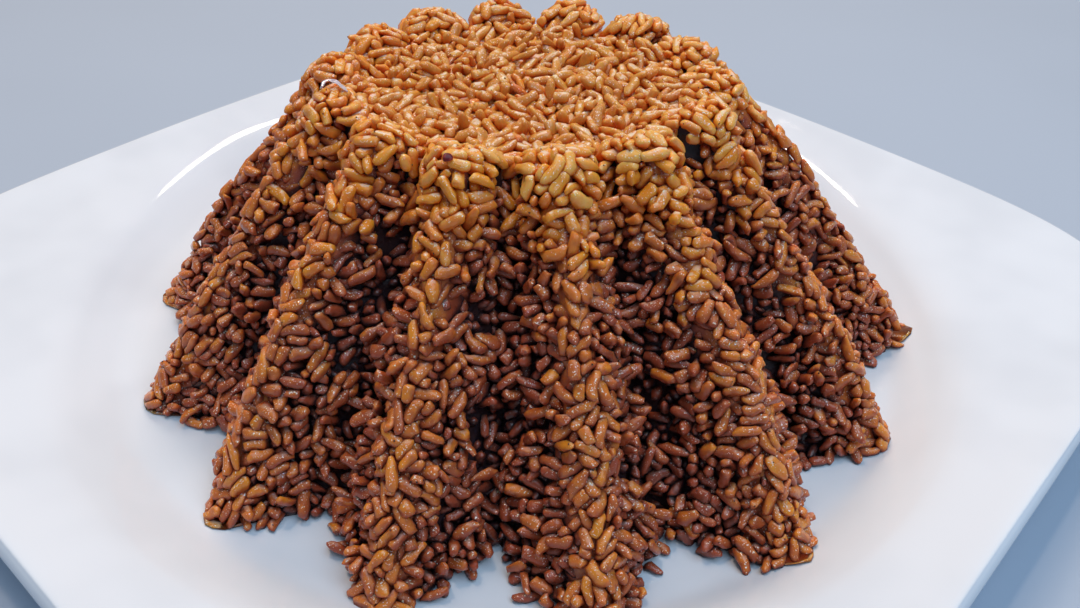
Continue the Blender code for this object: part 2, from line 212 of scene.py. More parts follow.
def turned_square_tree():
    """Turns a section round Z, and draws each ring out to the rim's square by its share."""
    sizes = [
        ("Rim Half", "Float"), ("Squareness", "Float"), ("Corner Drop", "Float"), ("Columns", "Int"),
        ("Glaze", "Material"),
    ]
    tree, given, made = new_growth("turned_square", sizes)
    count = add_node(tree, "GeometryNodeAttributeDomainSize", {0: given["Geometry"]}).outputs[0]
    across = math_node(tree, "ADD", given["Columns"], 1.0)
    grid_sizes = {"Size X": 1.0, "Size Y": 1.0, "Vertices X": across, "Vertices Y": count}
    grid = add_node(tree, "GeometryNodeMeshGrid", grid_sizes).outputs["Mesh"]
    place = add_node(tree, "GeometryNodeInputPosition").outputs[0]
    corner = add_node(tree, "ShaderNodeSeparateXYZ", {0: place}).outputs
    turn = math_node(tree, "MULTIPLY", math_node(tree, "ADD", corner["X"], 0.5), 2 * math.pi)
    last = math_node(tree, "SUBTRACT", count, 1.0)
    row_share = math_node(tree, "ADD", corner["Y"], 0.5)
    station = math_node(tree, "ROUND", math_node(tree, "MULTIPLY", row_share, last))
    share_name = add_node(tree, "GeometryNodeInputNamedAttribute", {"Name": "share"}, data_type="FLOAT")
    sampled = {"Geometry": given["Geometry"], "Index": station}
    section = add_node(
        tree, "GeometryNodeSampleIndex", {**sampled, "Value": place}, data_type="FLOAT_VECTOR"
    ).outputs[0]
    share = add_node(
        tree, "GeometryNodeSampleIndex", {**sampled, "Value": share_name.outputs[0]}, data_type="FLOAT"
    ).outputs[0]
    station_at = add_node(tree, "ShaderNodeSeparateXYZ", {0: section}).outputs
    cosine = math_node(tree, "COSINE", turn)
    sine = math_node(tree, "SINE", turn)
    squares = [
        math_node(tree, "POWER", math_node(tree, "ABSOLUTE", side), given["Squareness"])
        for side in (cosine, sine)
    ]
    root = math_node(tree, "DIVIDE", 1.0, given["Squareness"])
    outline = math_node(tree, "POWER", math_node(tree, "ADD", *squares), root)
    rim = math_node(tree, "DIVIDE", given["Rim Half"], outline)
    drawn_to = math_node(tree, "SUBTRACT", math_node(tree, "ADD", rim, station_at["Y"]), station_at["X"])
    reach = math_node(tree, "MULTIPLY_ADD", drawn_to, share, station_at["X"])
    cornered = math_node(tree, "MULTIPLY", math_node(tree, "MULTIPLY", cosine, sine), 2.0)
    at_corner = math_node(tree, "MULTIPLY", cornered, cornered)
    drop = math_node(tree, "MULTIPLY", at_corner, given["Corner Drop"])
    ring_point = {
        "X": math_node(tree, "MULTIPLY", reach, cosine),
        "Y": math_node(tree, "MULTIPLY", reach, sine),
        "Z": math_node(tree, "SUBTRACT", station_at["Z"], math_node(tree, "MULTIPLY", drop, share)),
    }
    ring_place = add_node(tree, "ShaderNodeCombineXYZ", ring_point).outputs[0]
    moved = add_node(tree, "GeometryNodeSetPosition", {"Geometry": grid, "Position": ring_place})
    seam = {"Geometry": moved.outputs[0], "Distance": MERGE_WITHIN}
    closed = add_node(tree, "GeometryNodeMergeByDistance", seam)
    end_growth(tree, closed.outputs[0], given["Glaze"], made)
    return tree


def new_finish(name):
    """A material with its tree, its Principled shader and the point's place on the object."""
    material = bpy.data.materials.new(name)
    material.use_nodes = True
    tree = material.node_tree
    place = tree.nodes.new("ShaderNodeTexCoord").outputs["Object"]
    return material, tree, tree.nodes["Principled BSDF"], place


def blend_colours(tree, share, first, second):
    """Mixes two colours, each a socket or a colour, by a share that is a socket."""
    mix = tree.nodes.new("ShaderNodeMix")
    mix.data_type = "RGBA"
    tree.links.new(share, mix.inputs["Factor"])
    for socket, colour in zip(mix.inputs[6:8], (first, second)):
        if isinstance(colour, bpy.types.NodeSocket):
            tree.links.new(colour, socket)
        else:
            socket.default_value = (*colour, 1.0)
    return mix.outputs[2]


def spread(tree, value, low, high, to_low=0.0, to_high=1.0):
    """Maps low..high smoothly to to_low..to_high."""
    inputs = {"Value": value, "From Min": low, "From Max": high, "To Min": to_low, "To Max": to_high}
    return add_node(tree, "ShaderNodeMapRange", inputs, interpolation_type="SMOOTHSTEP").outputs[0]


def noise(tree, place, scale, detail=2.0):
    """A noise texture of about this many lumps per metre."""
    inputs = {"Vector": place, "Scale": scale, "Detail": detail}
    return add_node(tree, "ShaderNodeTexNoise", inputs).outputs[0]


def relief(tree, height, strength, depth):
    """A shading normal bumped by a height texture."""
    inputs = {"Strength": strength, "Distance": depth, "Height": height}
    return add_node(tree, "ShaderNodeBump", inputs).outputs[0]


def glazed_porcelain():
    """White porcelain under a clear glaze that ripples a little, and bare clay on the foot."""
    material, tree, shader, place = new_finish("glazed_porcelain")
    cloud = spread(tree, noise(tree, place, CLOUDS), 0.35, 0.65)
    white = blend_colours(tree, cloud, GLAZE_THIN, GLAZE)
    height = add_node(tree, "ShaderNodeSeparateXYZ", {0: place}).outputs["Z"]
    clay = spread(tree, height, *CLAY_BAND)
    gloss = spread(tree, noise(tree, place, GLOSS_PATCHES), 0.3, 0.7, 0.035, 0.07)
    looks = {
        "Base Color": blend_colours(tree, clay, white, BARE_CLAY),
        "Roughness": add_node(tree, "ShaderNodeMix", {"Factor": clay, "A": gloss, "B": 0.75}).outputs[0],
        "Normal": relief(tree, noise(tree, place, RIPPLES), 0.10, RIPPLE_DEPTH),
        "Specular IOR Level": 0.4,
    }
    plug_in(tree, shader, looks)
    return material


plate_sizes = {
    "Rim Half": RIM_HALF,
    "Squareness": RIM_SQUARENESS,
    "Corner Drop": CORNER_DROP,
    "Columns": PLATE_COLUMNS,
    "Glaze": glazed_porcelain(),
}
plate = grown("porcelain_plate", plate_section(), turned_square_tree(), plate_sizes)
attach(plate, "root")
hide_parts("plate")

# -------------------------------------------------------------------------------- rice, core
# The rice was pressed into a mould with 14 straight flutes that end in knobs, and turned out.
# The core is the packed, starchy rice behind the outer grains. It lies on the plate's well.

RICE_X = -0.0010
RICE_Y = -0.0065
RICE_SINK = 0.0010  # the mould's edge, before the mound settled, would be this far below the well
REST_GAP = 0.0003
LEAN = math.radians(2.23)  # the nearest flutes stand on the well's side, so the mound leans
LEAN_AZIMUTH = math.radians(69.5)  # towards this side
LEANING = Matrix.Rotation(LEAN, 3, Vector((-math.sin(LEAN_AZIMUTH), math.cos(LEAN_AZIMUTH), 0.0)))
FLUTES = 14
FLUTE_AZIMUTH = math.radians(-128.1)  # of one flute's crest
SIDE_HEIGHT = 0.0745
SIDE_FROM = -0.1  # share of that height, down to which the side runs straight on below the rim
CREST_LOW = 0.1125
CREST_STRAY_MM = (0, 1.5, -3, 2, 0.5, -1, 1, 0, -0.5, 1, -1, -3, -1.5, -1)  # of each flute's foot
CREST_HIGH = 0.0580
CREST_BOW = 0.0026
GROOVE_LOW = 0.0920
GROOVE_HIGH = 0.0450
GROOVE_BOW = 0.0012
CREST_SOFTNESS = 0.15
TOP_Z = 0.0765
TOP_RADIUS = 0.0390
TOP_EDGE = 0.004  # the sunken top goes over into the knobs within this width
KNOB_RISE = 0.0056
KNOB_WIDTH = 0.90
KNOB_START = 0.80
KNOB_ROUNDNESS = 0.8
KNOB_HUMP = 0.75  # exponent that sets the knob's highest point nearer its outer side
UNEVEN = 0.0008
COVER_ON_CREST = 0.0070  # depth of the layer of whole grains over the core
COVER_IN_GROOVE = 0.0082
COVER_FROM = 0.15  # it thickens from this share of half a flute, over the next one
COVER_OVER = 0.6
CORE_SHOWS = 0.0012  # the core reaches this far into that layer
EMBED_DEPTH = 0.0027  # on the crests and the top the pressed rice sticks together up to this depth
TOP_EMBED_DEPTH = 0.0036  # the sunken top tore a little, so its grains stick out more
EMBED_FROM = 0.12  # from there to a flank the core sinks, as shares of half a flute
EMBED_TO = 0.40
FLANK_STEEPNESS = 1.5  # radial over square distance, on a flute's flank
CORE_FROM = -0.08  # share of the side's height: past the mould's rim, down to the plate
CORE_EDGE_SINK = 0.4  # share of the crests' depth by which the core's upper edge lies lower
CORE_EDGE_DIP = 0.001  # its top goes no further than this below that edge
CORE_COLUMNS = FLUTES * 22
CORE_ROWS = 84
CORE_TOP_ROWS = 34
FINE_LUMPS = 900.0  # per metre
FINE_SHARE = 0.4  # of the height of the lumps that are as large as grains
LUMP_LEVEL = 0.35
CORE_TOP_TONE = 0.84  # a tone of 0 is nearly black, and 1 is a pale gold
CORE_CREST_TONE = 0.62
# painted shade: the core is painted nearly black in the grooves, where it shows in the gaps
CORE_GROOVE_SHADE = 0.75
# The looks of an oiled grain. A band is (low, high) of a measure, mapped smoothly to 0..1, or to the
# last two numbers where it has four. A texture is (lumps per metre, detail).
MOTTLE = (420.0, 3.0)
MOTTLE_BAND = (0.3, 0.7, -0.07, 0.07)
PAINTED_UPWARD_LIGHT_BAND = (-0.5, 1.0, -0.14, 0.13)  # painted light: what looks up is painted paler
CREVICE_REACH = 0.003
CREVICE_SAMPLES = 4
CREVICE_SHADE_BAND = (0.85, 0.25, 0.06, -0.28)  # painted shade: what lies between grains is painted darker
BROWN_BAND = (0.0, 0.42)
GOLD_BAND = (0.42, 0.85)
PALE_BAND = (0.9, 1.25)
SOAKED = (150.0, 1.0)
SOAKED_BAND = (0.46, 0.61, 0.0, 0.75)
SOAKED_TONE_BAND = (0.5, 0.9)
DISC_REFLECTION_SHARE = 0.45
GAP_BAND = (0.75, 0.35, 0.0, 0.68)
GAP_TONE = (0.60, 0.85)
HIGHLIGHT_SPECKS = (2200.0, 1.0)
HIGHLIGHT_SPECK_BAND = (0.62, 0.69)
HIGHLIGHT_SPECK_FACING = (0.65, 0.95)
HIGHLIGHT_STREAKS = (580.0, 2.0)
HIGHLIGHT_STREAK_BAND = (0.45, 0.60, 0.0, 0.60)
HIGHLIGHT_STREAK_LEVEL = (0.82, 0.97)  # painted highlight streaks where a grain lies level
HIGHLIGHT_STREAK_TONE = (0.58, 0.88, 0.3, 1.0)
GLINT_TONE = (0.10, 0.35)  # no painted highlight deep in the grooves
ROUGH_PATCHES = (800.0, 2.0)
ROUGH_BAND = (0.3, 0.7, 0.24, 0.46)
PITS = (1700.0, 2.0)
PIT_DEPTH = 0.0002
COAT_BAND = (0.35, 0.80, 0.12, 0.75)
GRAIN_DARK = (0.030, 0.014, 0.016)
GRAIN_BROWN = (0.380, 0.070, 0.028)
GRAIN_GOLD = (0.750, 0.208, 0.028)
GRAIN_PALE = (0.950, 0.425, 0.090)
DISC_REFLECTION_TINT = (0.480, 0.285, 0.060)  # of the sunken top: a duller tint painted for the sky's reflection on its wetter grains
GRAIN_AMBER = (0.880, 0.300, 0.016)  # where more oil soaked in
PAINTED_GAP_GLOW = (0.780, 0.165, 0.012)  # painted glow of light through the grains, between them
# the colour of the painted highlights of oil, mixed into the base colour
PAINTED_GLINT = (0.950, 0.800, 0.680)
GLINT_FACING = (-0.35, -0.35, 0.87)  # painted highlight specks on the sides of grains that face the light
PLATE_TOP = through(plate_stations()[1], STEPS_PER_STATION)[:, (0, 3)]
PLATE_TOP = PLATE_TOP[PLATE_TOP[:, 1].argmax():][::-1]


def ramp(values, over):
    """0 for values below zero, 1 for those past a length, and straight in between."""
    return np.clip(values / over, 0.0, 1.0)


def azimuth_of(points):
    """The direction of each point round the mould's axis."""
    return np.arctan2(points[:, 1], points[:, 0])


def flute_turns(azimuth):
    """How many flutes round it is from the one at FLUTE_AZIMUTH."""
    return (azimuth - FLUTE_AZIMUTH) * FLUTES / (2 * math.pi)


def from_crest(azimuth):
    """0 on a flute's crest and 1 in the groove."""
    turns = flute_turns(azimuth)
    return np.abs(turns - np.round(turns)) * 2


def swell(azimuth, share):
    """Slow unevenness of rice that was pressed by hand."""
    return UNEVEN * (
        np.sin(5 * azimuth + 7 * share + 0.6)
        + 0.7 * np.sin(11 * azimuth - 12 * share + 2.1)
        + 0.5 * np.sin(23 * azimuth + 19 * share)
    )


def mould_side(azimuth, height):
    """Radius of the mould's side there, and of its straight run on below the mould's rim."""
    share = np.clip(height / SIDE_HEIGHT, SIDE_FROM, 1.0)
    bow = 4 * share * (1 - share)
    stray = np.array(CREST_STRAY_MM)[np.round(flute_turns(azimuth)).astype(int) % FLUTES] / 1000
    low = CREST_LOW + stray
    crest = low + (CREST_HIGH - low) * share + CREST_BOW * bow
    groove = GROOVE_LOW + (GROOVE_HIGH - GROOVE_LOW) * share + GROOVE_BOW * bow
    across = from_crest(azimuth)
    soft = CREST_SOFTNESS
    straight = 1 - (np.hypot(across, soft) - soft) / (math.hypot(1, soft) - soft)
    full = np.sqrt(np.maximum(0.0, 1 - across * across))
    turn = np.maximum(0.0, (share - KNOB_START) / (1 - KNOB_START))
    flute = straight + (full - straight) * KNOB_ROUNDNESS * turn
    slope = math.cos(math.atan2(CREST_LOW - CREST_HIGH, SIDE_HEIGHT))
    return groove + (crest - groove) * flute + swell(azimuth, share) * slope


def mould_top(azimuth, radius):
    """Height of the mould's top there: a sunken disc inside a ring of knobs."""
    outer = mould_side(azimuth, np.full_like(azimuth, SIDE_HEIGHT))
    inward = ramp(outer - radius, outer - TOP_RADIUS)
    across = from_crest(azimuth) / KNOB_WIDTH
    knob = KNOB_RISE * np.sqrt(np.maximum(0.0, 1 - across * across))
    floor = SIDE_HEIGHT + (TOP_Z - SIDE_HEIGHT) * np.minimum(1.0, 2 * inward)
    return floor + knob * np.sin(math.pi * inward**KNOB_HUMP)


def cover_at(azimuth, on_top):
    """Thickness of the layer of whole grains: thin where they were pressed, thick in a groove."""
    groove = ramp(from_crest(azimuth) - COVER_FROM, COVER_OVER) * (1 - on_top)
    return COVER_ON_CREST + (COVER_IN_GROOVE - COVER_ON_CREST) * groove * groove * (3 - 2 * groove)


def core_sink(azimuth):
    """0 where the core comes up under pressed grains, on the crests, and 1 in the grooves."""
    sink = ramp(from_crest(azimuth) - EMBED_FROM, EMBED_TO - EMBED_FROM)
    return sink * sink * (3 - 2 * sink)


def core_points():
    """Rings of the core, from its foot to the middle of its top, each CORE_COLUMNS points round."""
    azimuth = FLUTE_AZIMUTH + 2 * math.pi * np.arange(CORE_COLUMNS) / CORE_COLUMNS
    extra = (cover_at(azimuth, 0.0) - CORE_SHOWS - EMBED_DEPTH) * core_sink(azimuth)
    rings = []
    for share in np.linspace(CORE_FROM, 1, CORE_ROWS):
        height = np.full_like(azimuth, share * (SIDE_HEIGHT - CORE_EDGE_SINK * EMBED_DEPTH))
        radius = mould_side(azimuth, height) - FLANK_STEEPNESS * (EMBED_DEPTH + extra)
        rings.append((radius, height))
    edge, edge_height = rings[-1]
    for share in np.linspace(0, 1, CORE_TOP_ROWS + 1)[1:-1]:
        radius = edge * (1 - share)
        over_knobs = ramp(radius - TOP_RADIUS, edge.max() - TOP_RADIUS)
        below = TOP_EMBED_DEPTH + (EMBED_DEPTH + extra - TOP_EMBED_DEPTH) * over_knobs
        height = mould_top(azimuth, radius) - below
        rings.append((radius, np.maximum(height, edge_height - CORE_EDGE_DIP)))
    return [
        np.stack((radius * np.cos(azimuth), radius * np.sin(azimuth), height), axis=1)
        for radius, height in rings
    ]


def leaning(vectors):
    """Directions given along the mould's own axes, in the leaning mound."""
    return vectors @ np.array(LEANING).T


def rice_place(points):
    """Points measured from the middle of the mould's rim, as points of the frame."""
    return leaning(points) + np.array((RICE_X, RICE_Y, WELL_Z - RICE_SINK))


def above_plate(places):
    """Height of points of the frame over the plate's upper face, between its middle and the rim."""
    radius = np.hypot(places[:, 0], places[:, 1])
    return places[:, 2] - np.interp(radius, PLATE_TOP[:, 0], PLATE_TOP[:, 1])


def core_mesh():
    """The core as one closed mesh, browned like the grains over it, and painted nearly black in the
    grooves as shade where it shows between grains.
    """
    rings = core_points()
    middle_low = (0.0, 0.0, CORE_FROM * SIDE_HEIGHT)
    middle_high = (0.0, 0.0, TOP_Z - TOP_EMBED_DEPTH)
    points = np.vstack(rings + [middle_low, middle_high])
    count = CORE_COLUMNS
    faces = []
    for row in range(len(rings) - 1):
        here, above = row * count, (row + 1) * count
        for i in range(count):
            j = (i + 1) % count
            faces.append((here + i, here + j, above + j, above + i))
    low, high = len(points) - 2, len(points) - 1
    last = (len(rings) - 1) * count
    for i in range(count):
        j = (i + 1) % count
        faces.append((j, i, low))
        faces.append((last + i, last + j, high))
    mesh = bpy.data.meshes.new("rice_core_smooth")
    places = rice_place(points)
    places[:, 2] -= np.minimum(0.0, above_plate(places) - REST_GAP)
    mesh.from_pydata(places.tolist(), [], faces)
    on_top = np.hypot(points[:, 0], points[:, 1]) < TOP_RADIUS + TOP_EDGE
    # painted shade: the core darkens towards the grooves
    side_tone = CORE_CREST_TONE - CORE_GROOVE_SHADE * core_sink(azimuth_of(points))
    label_points(mesh, "tone", np.where(on_top, CORE_TOP_TONE, side_tone))
    label_points(mesh, "disc", on_top & (points[:, 2] > SIDE_HEIGHT / 2))
    return mesh


def packed_relief_tree():
    """Raises and sinks a surface along its normals by lumps as large as grains, and finer ones."""
    sizes = [("Lump Height", "Float"), ("Lumps Per Metre", "Float"), ("Rice", "Material")]
    tree, given, made = new_growth("packed_relief", sizes)
    lumps = add_node(
        tree, "ShaderNodeTexVoronoi", {"Scale": given["Lumps Per Metre"]}, feature="SMOOTH_F1"
    ).outputs["Distance"]
    fine = add_node(tree, "ShaderNodeTexNoise", {"Scale": FINE_LUMPS, "Detail": 2.0}).outputs[0]
    coarse = math_node(tree, "SUBTRACT", LUMP_LEVEL, lumps)
    height = math_node(tree, "MULTIPLY_ADD", fine, FINE_SHARE, coarse)
    lift = math_node(tree, "MULTIPLY", height, given["Lump Height"])
    normal = add_node(tree, "GeometryNodeInputNormal").outputs[0]
    out = add_node(tree, "ShaderNodeVectorMath", {0: normal, "Scale": lift}, operation="SCALE").outputs[0]
    moved = add_node(tree, "GeometryNodeSetPosition", {"Geometry": given["Geometry"], "Offset": out})
    end_growth(tree, moved.outputs[0], given["Rice"], made)
    return tree


def attribute(tree, name):
    """The number of this name that a mesh's points carry."""
    return add_node(tree, "ShaderNodeAttribute", attribute_name=name).outputs["Fac"]


def browned_and_shaded_colour(tree, place, tone, level, open_air):
    """From nearly black over brown and gold to pale, with the oil's own amber over that; painted light
    makes upward faces paler, painted shade darkens what lies between grains, a painted glow fills the
    gaps, and a painted reflection dulls the sunken top.
    """
    mottle = spread(tree, noise(tree, place, *MOTTLE), *MOTTLE_BAND)
    # painted light: faces that look up are painted paler
    lit = spread(tree, level, *PAINTED_UPWARD_LIGHT_BAND)
    # painted shade: darker where other grains close round the point
    crevice_shade = spread(tree, open_air, *CREVICE_SHADE_BAND)
    own = math_node(tree, "ADD", tone, mottle)
    browning_and_shading = math_node(tree, "ADD", own, math_node(tree, "ADD", lit, crevice_shade))
    colour = blend_colours(tree, spread(tree, browning_and_shading, *BROWN_BAND), GRAIN_DARK, GRAIN_BROWN)
    colour = blend_colours(tree, spread(tree, browning_and_shading, *GOLD_BAND), colour, GRAIN_GOLD)
    colour = blend_colours(tree, spread(tree, browning_and_shading, *PALE_BAND), colour, GRAIN_PALE)
    soaked = spread(tree, noise(tree, place, *SOAKED), *SOAKED_BAND)
    soaked = math_node(tree, "MULTIPLY", soaked, spread(tree, browning_and_shading, *SOAKED_TONE_BAND))
    colour = blend_colours(tree, soaked, colour, GRAIN_AMBER)
    # painted reflection: the sunken top is tinted duller
    disc_reflection = math_node(tree, "MULTIPLY", attribute(tree, "disc"), DISC_REFLECTION_SHARE)
    colour = blend_colours(tree, disc_reflection, colour, DISC_REFLECTION_TINT)
    # painted glow: the gaps between grains are tinted orange
    gap = spread(tree, open_air, *GAP_BAND)
    gap = math_node(tree, "MULTIPLY", gap, spread(tree, tone, *GAP_TONE))
    return blend_colours(tree, gap, colour, PAINTED_GAP_GLOW)


def painted_glints(tree, place, tone, normal, level):
    """Painted highlights of oil: specks on the sides that face the light, and streaks along level grains.
    """
    turned = {0: normal, 1: GLINT_FACING}
    facing = add_node(tree, "ShaderNodeVectorMath", turned, operation="DOT_PRODUCT").outputs[1]
    highlight_specks = spread(tree, noise(tree, place, *HIGHLIGHT_SPECKS), *HIGHLIGHT_SPECK_BAND)
    highlight_specks = math_node(tree, "MULTIPLY", highlight_specks, spread(tree, facing, *HIGHLIGHT_SPECK_FACING))
    highlight_streaks = spread(tree, noise(tree, place, *HIGHLIGHT_STREAKS), *HIGHLIGHT_STREAK_BAND)
    highlight_streaks = math_node(tree, "MULTIPLY", highlight_streaks, spread(tree, level, *HIGHLIGHT_STREAK_LEVEL))
    highlight_streaks = math_node(tree, "MULTIPLY", highlight_streaks, spread(tree, tone, *HIGHLIGHT_STREAK_TONE))
    glints = math_node(tree, "MAXIMUM", highlight_specks, highlight_streaks)
    return math_node(tree, "MULTIPLY", glints, spread(tree, tone, *GLINT_TONE))


def oiled_grain():
    """A boiled grain, browned unevenly and wet with oil: golden where pressed, darker in grooves, with
    painted light, shade and highlights in its colour.
    """
    material, tree, shader, place = new_finish("oiled_grain")
    tone = attribute(tree, "tone")
    normal = tree.nodes.new("ShaderNodeNewGeometry").outputs["Normal"]
    level = add_node(tree, "ShaderNodeSeparateXYZ", {0: normal}).outputs["Z"]
    around = {"Distance": CREVICE_REACH}
    occlusion = add_node(tree, "ShaderNodeAmbientOcclusion", around, samples=CREVICE_SAMPLES)
    open_air = occlusion.outputs["AO"]
    colour = browned_and_shaded_colour(tree, place, tone, level, open_air)
    glints = painted_glints(tree, place, tone, normal, level)
    pits = noise(tree, place, *PITS)
    looks = {
        # painted highlights of oil over the grain's colour
        "Base Color": blend_colours(tree, glints, colour, PAINTED_GLINT),
        "Roughness": spread(tree, noise(tree, place, *ROUGH_PATCHES), *ROUGH_BAND),
        "Normal": relief(tree, pits, 0.5, PIT_DEPTH),
        "Subsurface Weight": 0.6,
        "Subsurface Radius": (1.0, 0.45, 0.2),
        "Subsurface Scale": 0.0024,
        "Specular IOR Level": 0.10,
        "Coat Weight": spread(tree, open_air, *COAT_BAND),
        "Coat Roughness": 0.05,
        "Coat Normal": relief(tree, pits, 0.7, PIT_DEPTH),
    }
    plug_in(tree, shader, looks)
    return material


grain_finish = oiled_grain()
core_sizes = {"Lump Height": 0.0018, "Lumps Per Metre": 300.0, "Rice": grain_finish}
core = grown("rice_core", core_mesh(), packed_relief_tree(), core_sizes)
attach(core, "root")
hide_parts("rice")

# ------------------------------------------------------------------------------ rice, grains
# Thousands of whole, bent, split and broken grains, boiled soft and coated in oil and browned
# onion. They were pressed flat against the mould, and some came away in the grooves with it.

GRAIN_LENGTH = 0.0068
GRAIN_WIDTH = 0.0026
GRAIN_KINDS = {
    # share of all grains, then length, width, thickness, bluntness, bend, taper and crease
    "plump": (0.22, 0.0060, 0.0029, 0.0026, 0.75, 0.00015, 0.06, 0.05),
    "slender": (0.17, 0.0070, 0.0026, 0.0023, 0.78, -0.00025, 0.10, 0.06),
    "bent": (0.20, 0.0066, 0.0027, 0.0024, 0.73, 0.00075, 0.08, 0.05),
    "split": (0.19, 0.0059, 0.0029, 0.0024, 0.67, 0.00010, -0.05, 0.30),
    "broken": (0.22, 0.0040, 0.0027, 0.0025, 0.62, 0.00005, 0.12, 0.08),
}
SIZE_SPREAD = 0.12  # of a grain's length, width and thickness from its kind's own
SIZE_LIMITS = (0.8, 1.2)
GRAIN_DENTS = 0.0019
DENTS_PER_METRE = 450.0
CREASE_FROM = 0.95  # a grain's flat face is creased past this share of its half thickness
FACING_SPREAD = 0.25
DEEP = 0.0045  # grains behind this are only glimpsed, and have fewer faces
NEAR_SHAPE = (8, 7)  # segments and rings
DEEP_SHAPE = (5, 4)
CROWDING = 0.77  # grains fill this share of their layer, as soft grains do
EVEN_RATIO = 1.2207440846  # spreads points evenly: the root of x^4 = x + 1
BALLS = 4  # a grain takes its room as a row of balls
BALL_RADIUS = 0.00119
NEAREST = 0.5  # of a ball's radius, to the print and the plate, for a grain that is strewn
STREWN_PAST = 0.009  # the square they are strewn over reaches this far past the mould's rim
SETTLING_STEPS = 110
LIST_EVERY = 8  # steps between two searches for neighbours
LIST_SLACK = 0.0009
SOFTNESS = 0.42  # share of an overlap undone in a step
PRESS_DRIFT = 0.00002  # how far the press moves a grain towards the mould in a step
PUSH_BACK = 0.5  # share undone in a step of how far a grain is behind its layer
PLATE_GAP = 0.9  # of a ball's radius, over the plate
STAND_OUT = 0.00030  # spread of how far single grains stand out of the print
STAND_OUT_MOST = 0.0006
FLANK_FROM = 0.16  # past this share of the way from a crest to its groove, grains tore off the mould
FLANK_FULL = 0.36
TOP_TORN = 0.7  # the sunken top tore off the mould less than the flanks did
LOOSENESS = 0.0028  # there the grains lay as they fell, also this far outside the print
TORN_DEPTH = 0.0007  # and those nearer the mould than this stayed in it
TORN_SPREAD = 0.0005
CREST_SHARE = 0.16  # grains this near a crest lie along it
CREST_LEAN = 0.73  # how far a crest leans in for each metre up
CREST_ORDER = 2.2
GRAIN_SEED = 907
HIDDEN_DEPTH = 0.0031  # behind this, pressed grains hide the ones under them
HIDDEN_IN_GROOVE = 1.7  # in the grooves, and where grains tore off, one sees this much deeper
HIDDEN_WHERE_TORN = 0.8
LOOSE_DEPTH = 0.0032  # on the flanks, clumps of grains this deep came away too
LOOSE_LEVEL = 0.62  # and the higher this level of a slow field, the fewer of them
LOOSE_RISE = 0.5  # the clumps deepen from this far below that level, up to LOOSE_MOST
LOOSE_MOST = 1.2
LOOSE_ON_CREST = 0.3
CLUMP_WAVES = 9
CLUMP_SIZE = 0.0021  # the wavelength of that field over 2 pi
# Where grains came away with the mould: groove number, height above the foot, reach and depth, in mm
HOLLOWS_MM = (
    (11, 70, 4, 2.5), (11, 41, 5, 3), (11, 33, 5, 3),
    (12, 57, 5, 3), (12, 48, 5, 3), (12, 35, 6, 3.5), (12, 20, 5, 3),
    (13, 73, 4, 2.5), (13, 62, 4, 2.5), (13, 47, 6, 3.5), (13, 27, 6, 3.5), (13, 12, 5, 3),
    (0, 55, 6, 3.5), (0, 40, 5, 3), (0, 22, 6, 3.5), (0, 10, 5, 3),
    (1, 73, 3.4, 2.5), (1, 53, 6, 3.5), (1, 38, 6, 4), (1, 24, 6, 4),
    (2, 66, 4, 2.5), (2, 52, 6, 3.5), (2, 24, 6, 4), (2, 15, 6, 3),
)
HIDDEN_GROOVES = (3, 4, 5, 6, 7, 8, 9, 10)  # at the back, with pockets like those that show
POCKET_HEIGHTS_MM = (70, 56, 42, 30, 18)
POCKET_CHANCE = 0.7
POCKET_STRAY_MM = (-5, 5)
POCKET_REACH_MM = (4, 6.5)
POCKET_DEPTH_MM = (2.5, 4)
POCKET_TILT = 0.7  # a pocket opens out and up, by this height for each metre out
# What a grain's place adds to its tone, or takes from it, some of it painted light and shade. A fade is
# (where it starts, its length).
GRAIN_TONE = 0.84
TONE_SPREAD = 0.055
TOP_PALER = 0.05
# painted light: the knobs, which face the front, are painted paler
KNOB_PAINTED_LIGHT = 0.13
KNOB_FADE = (0.061, 0.014)
PAINTED_LIGHT_SIDE = (-0.71, -0.71)  # painted light: the knobs on this side are painted paler
PAINTED_LIGHT_BY = 0.06
PAINTED_SHADE_SIDE = (-0.71, 0.71)  # painted shade: and those on this side darker
PAINTED_SHADE_BY = 0.11
# darker in the grooves: partly the grains' own colour, partly painted shade in the recesses
GROOVE_DARKER = 0.17
GROOVE_FADE = (0.05, 0.60)
# painted shade: grains deeper below the print are painted darker
INSIDE_SHADE = 0.40
INSIDE_FADE = (0.0015, 0.006)
FOOT_DARKER = 0.25
FOOT_FADE = (0.069, 0.018)  # downwards
PATCH_TONE = 0.05
PATCH_WAVES = ((310.0, 150.0, -260.0), (-120.0, 290.0, 210.0))  # radians per metre
DISC_FADE = (0.010, 0.012)  # from this far outside the sunken top, inwards


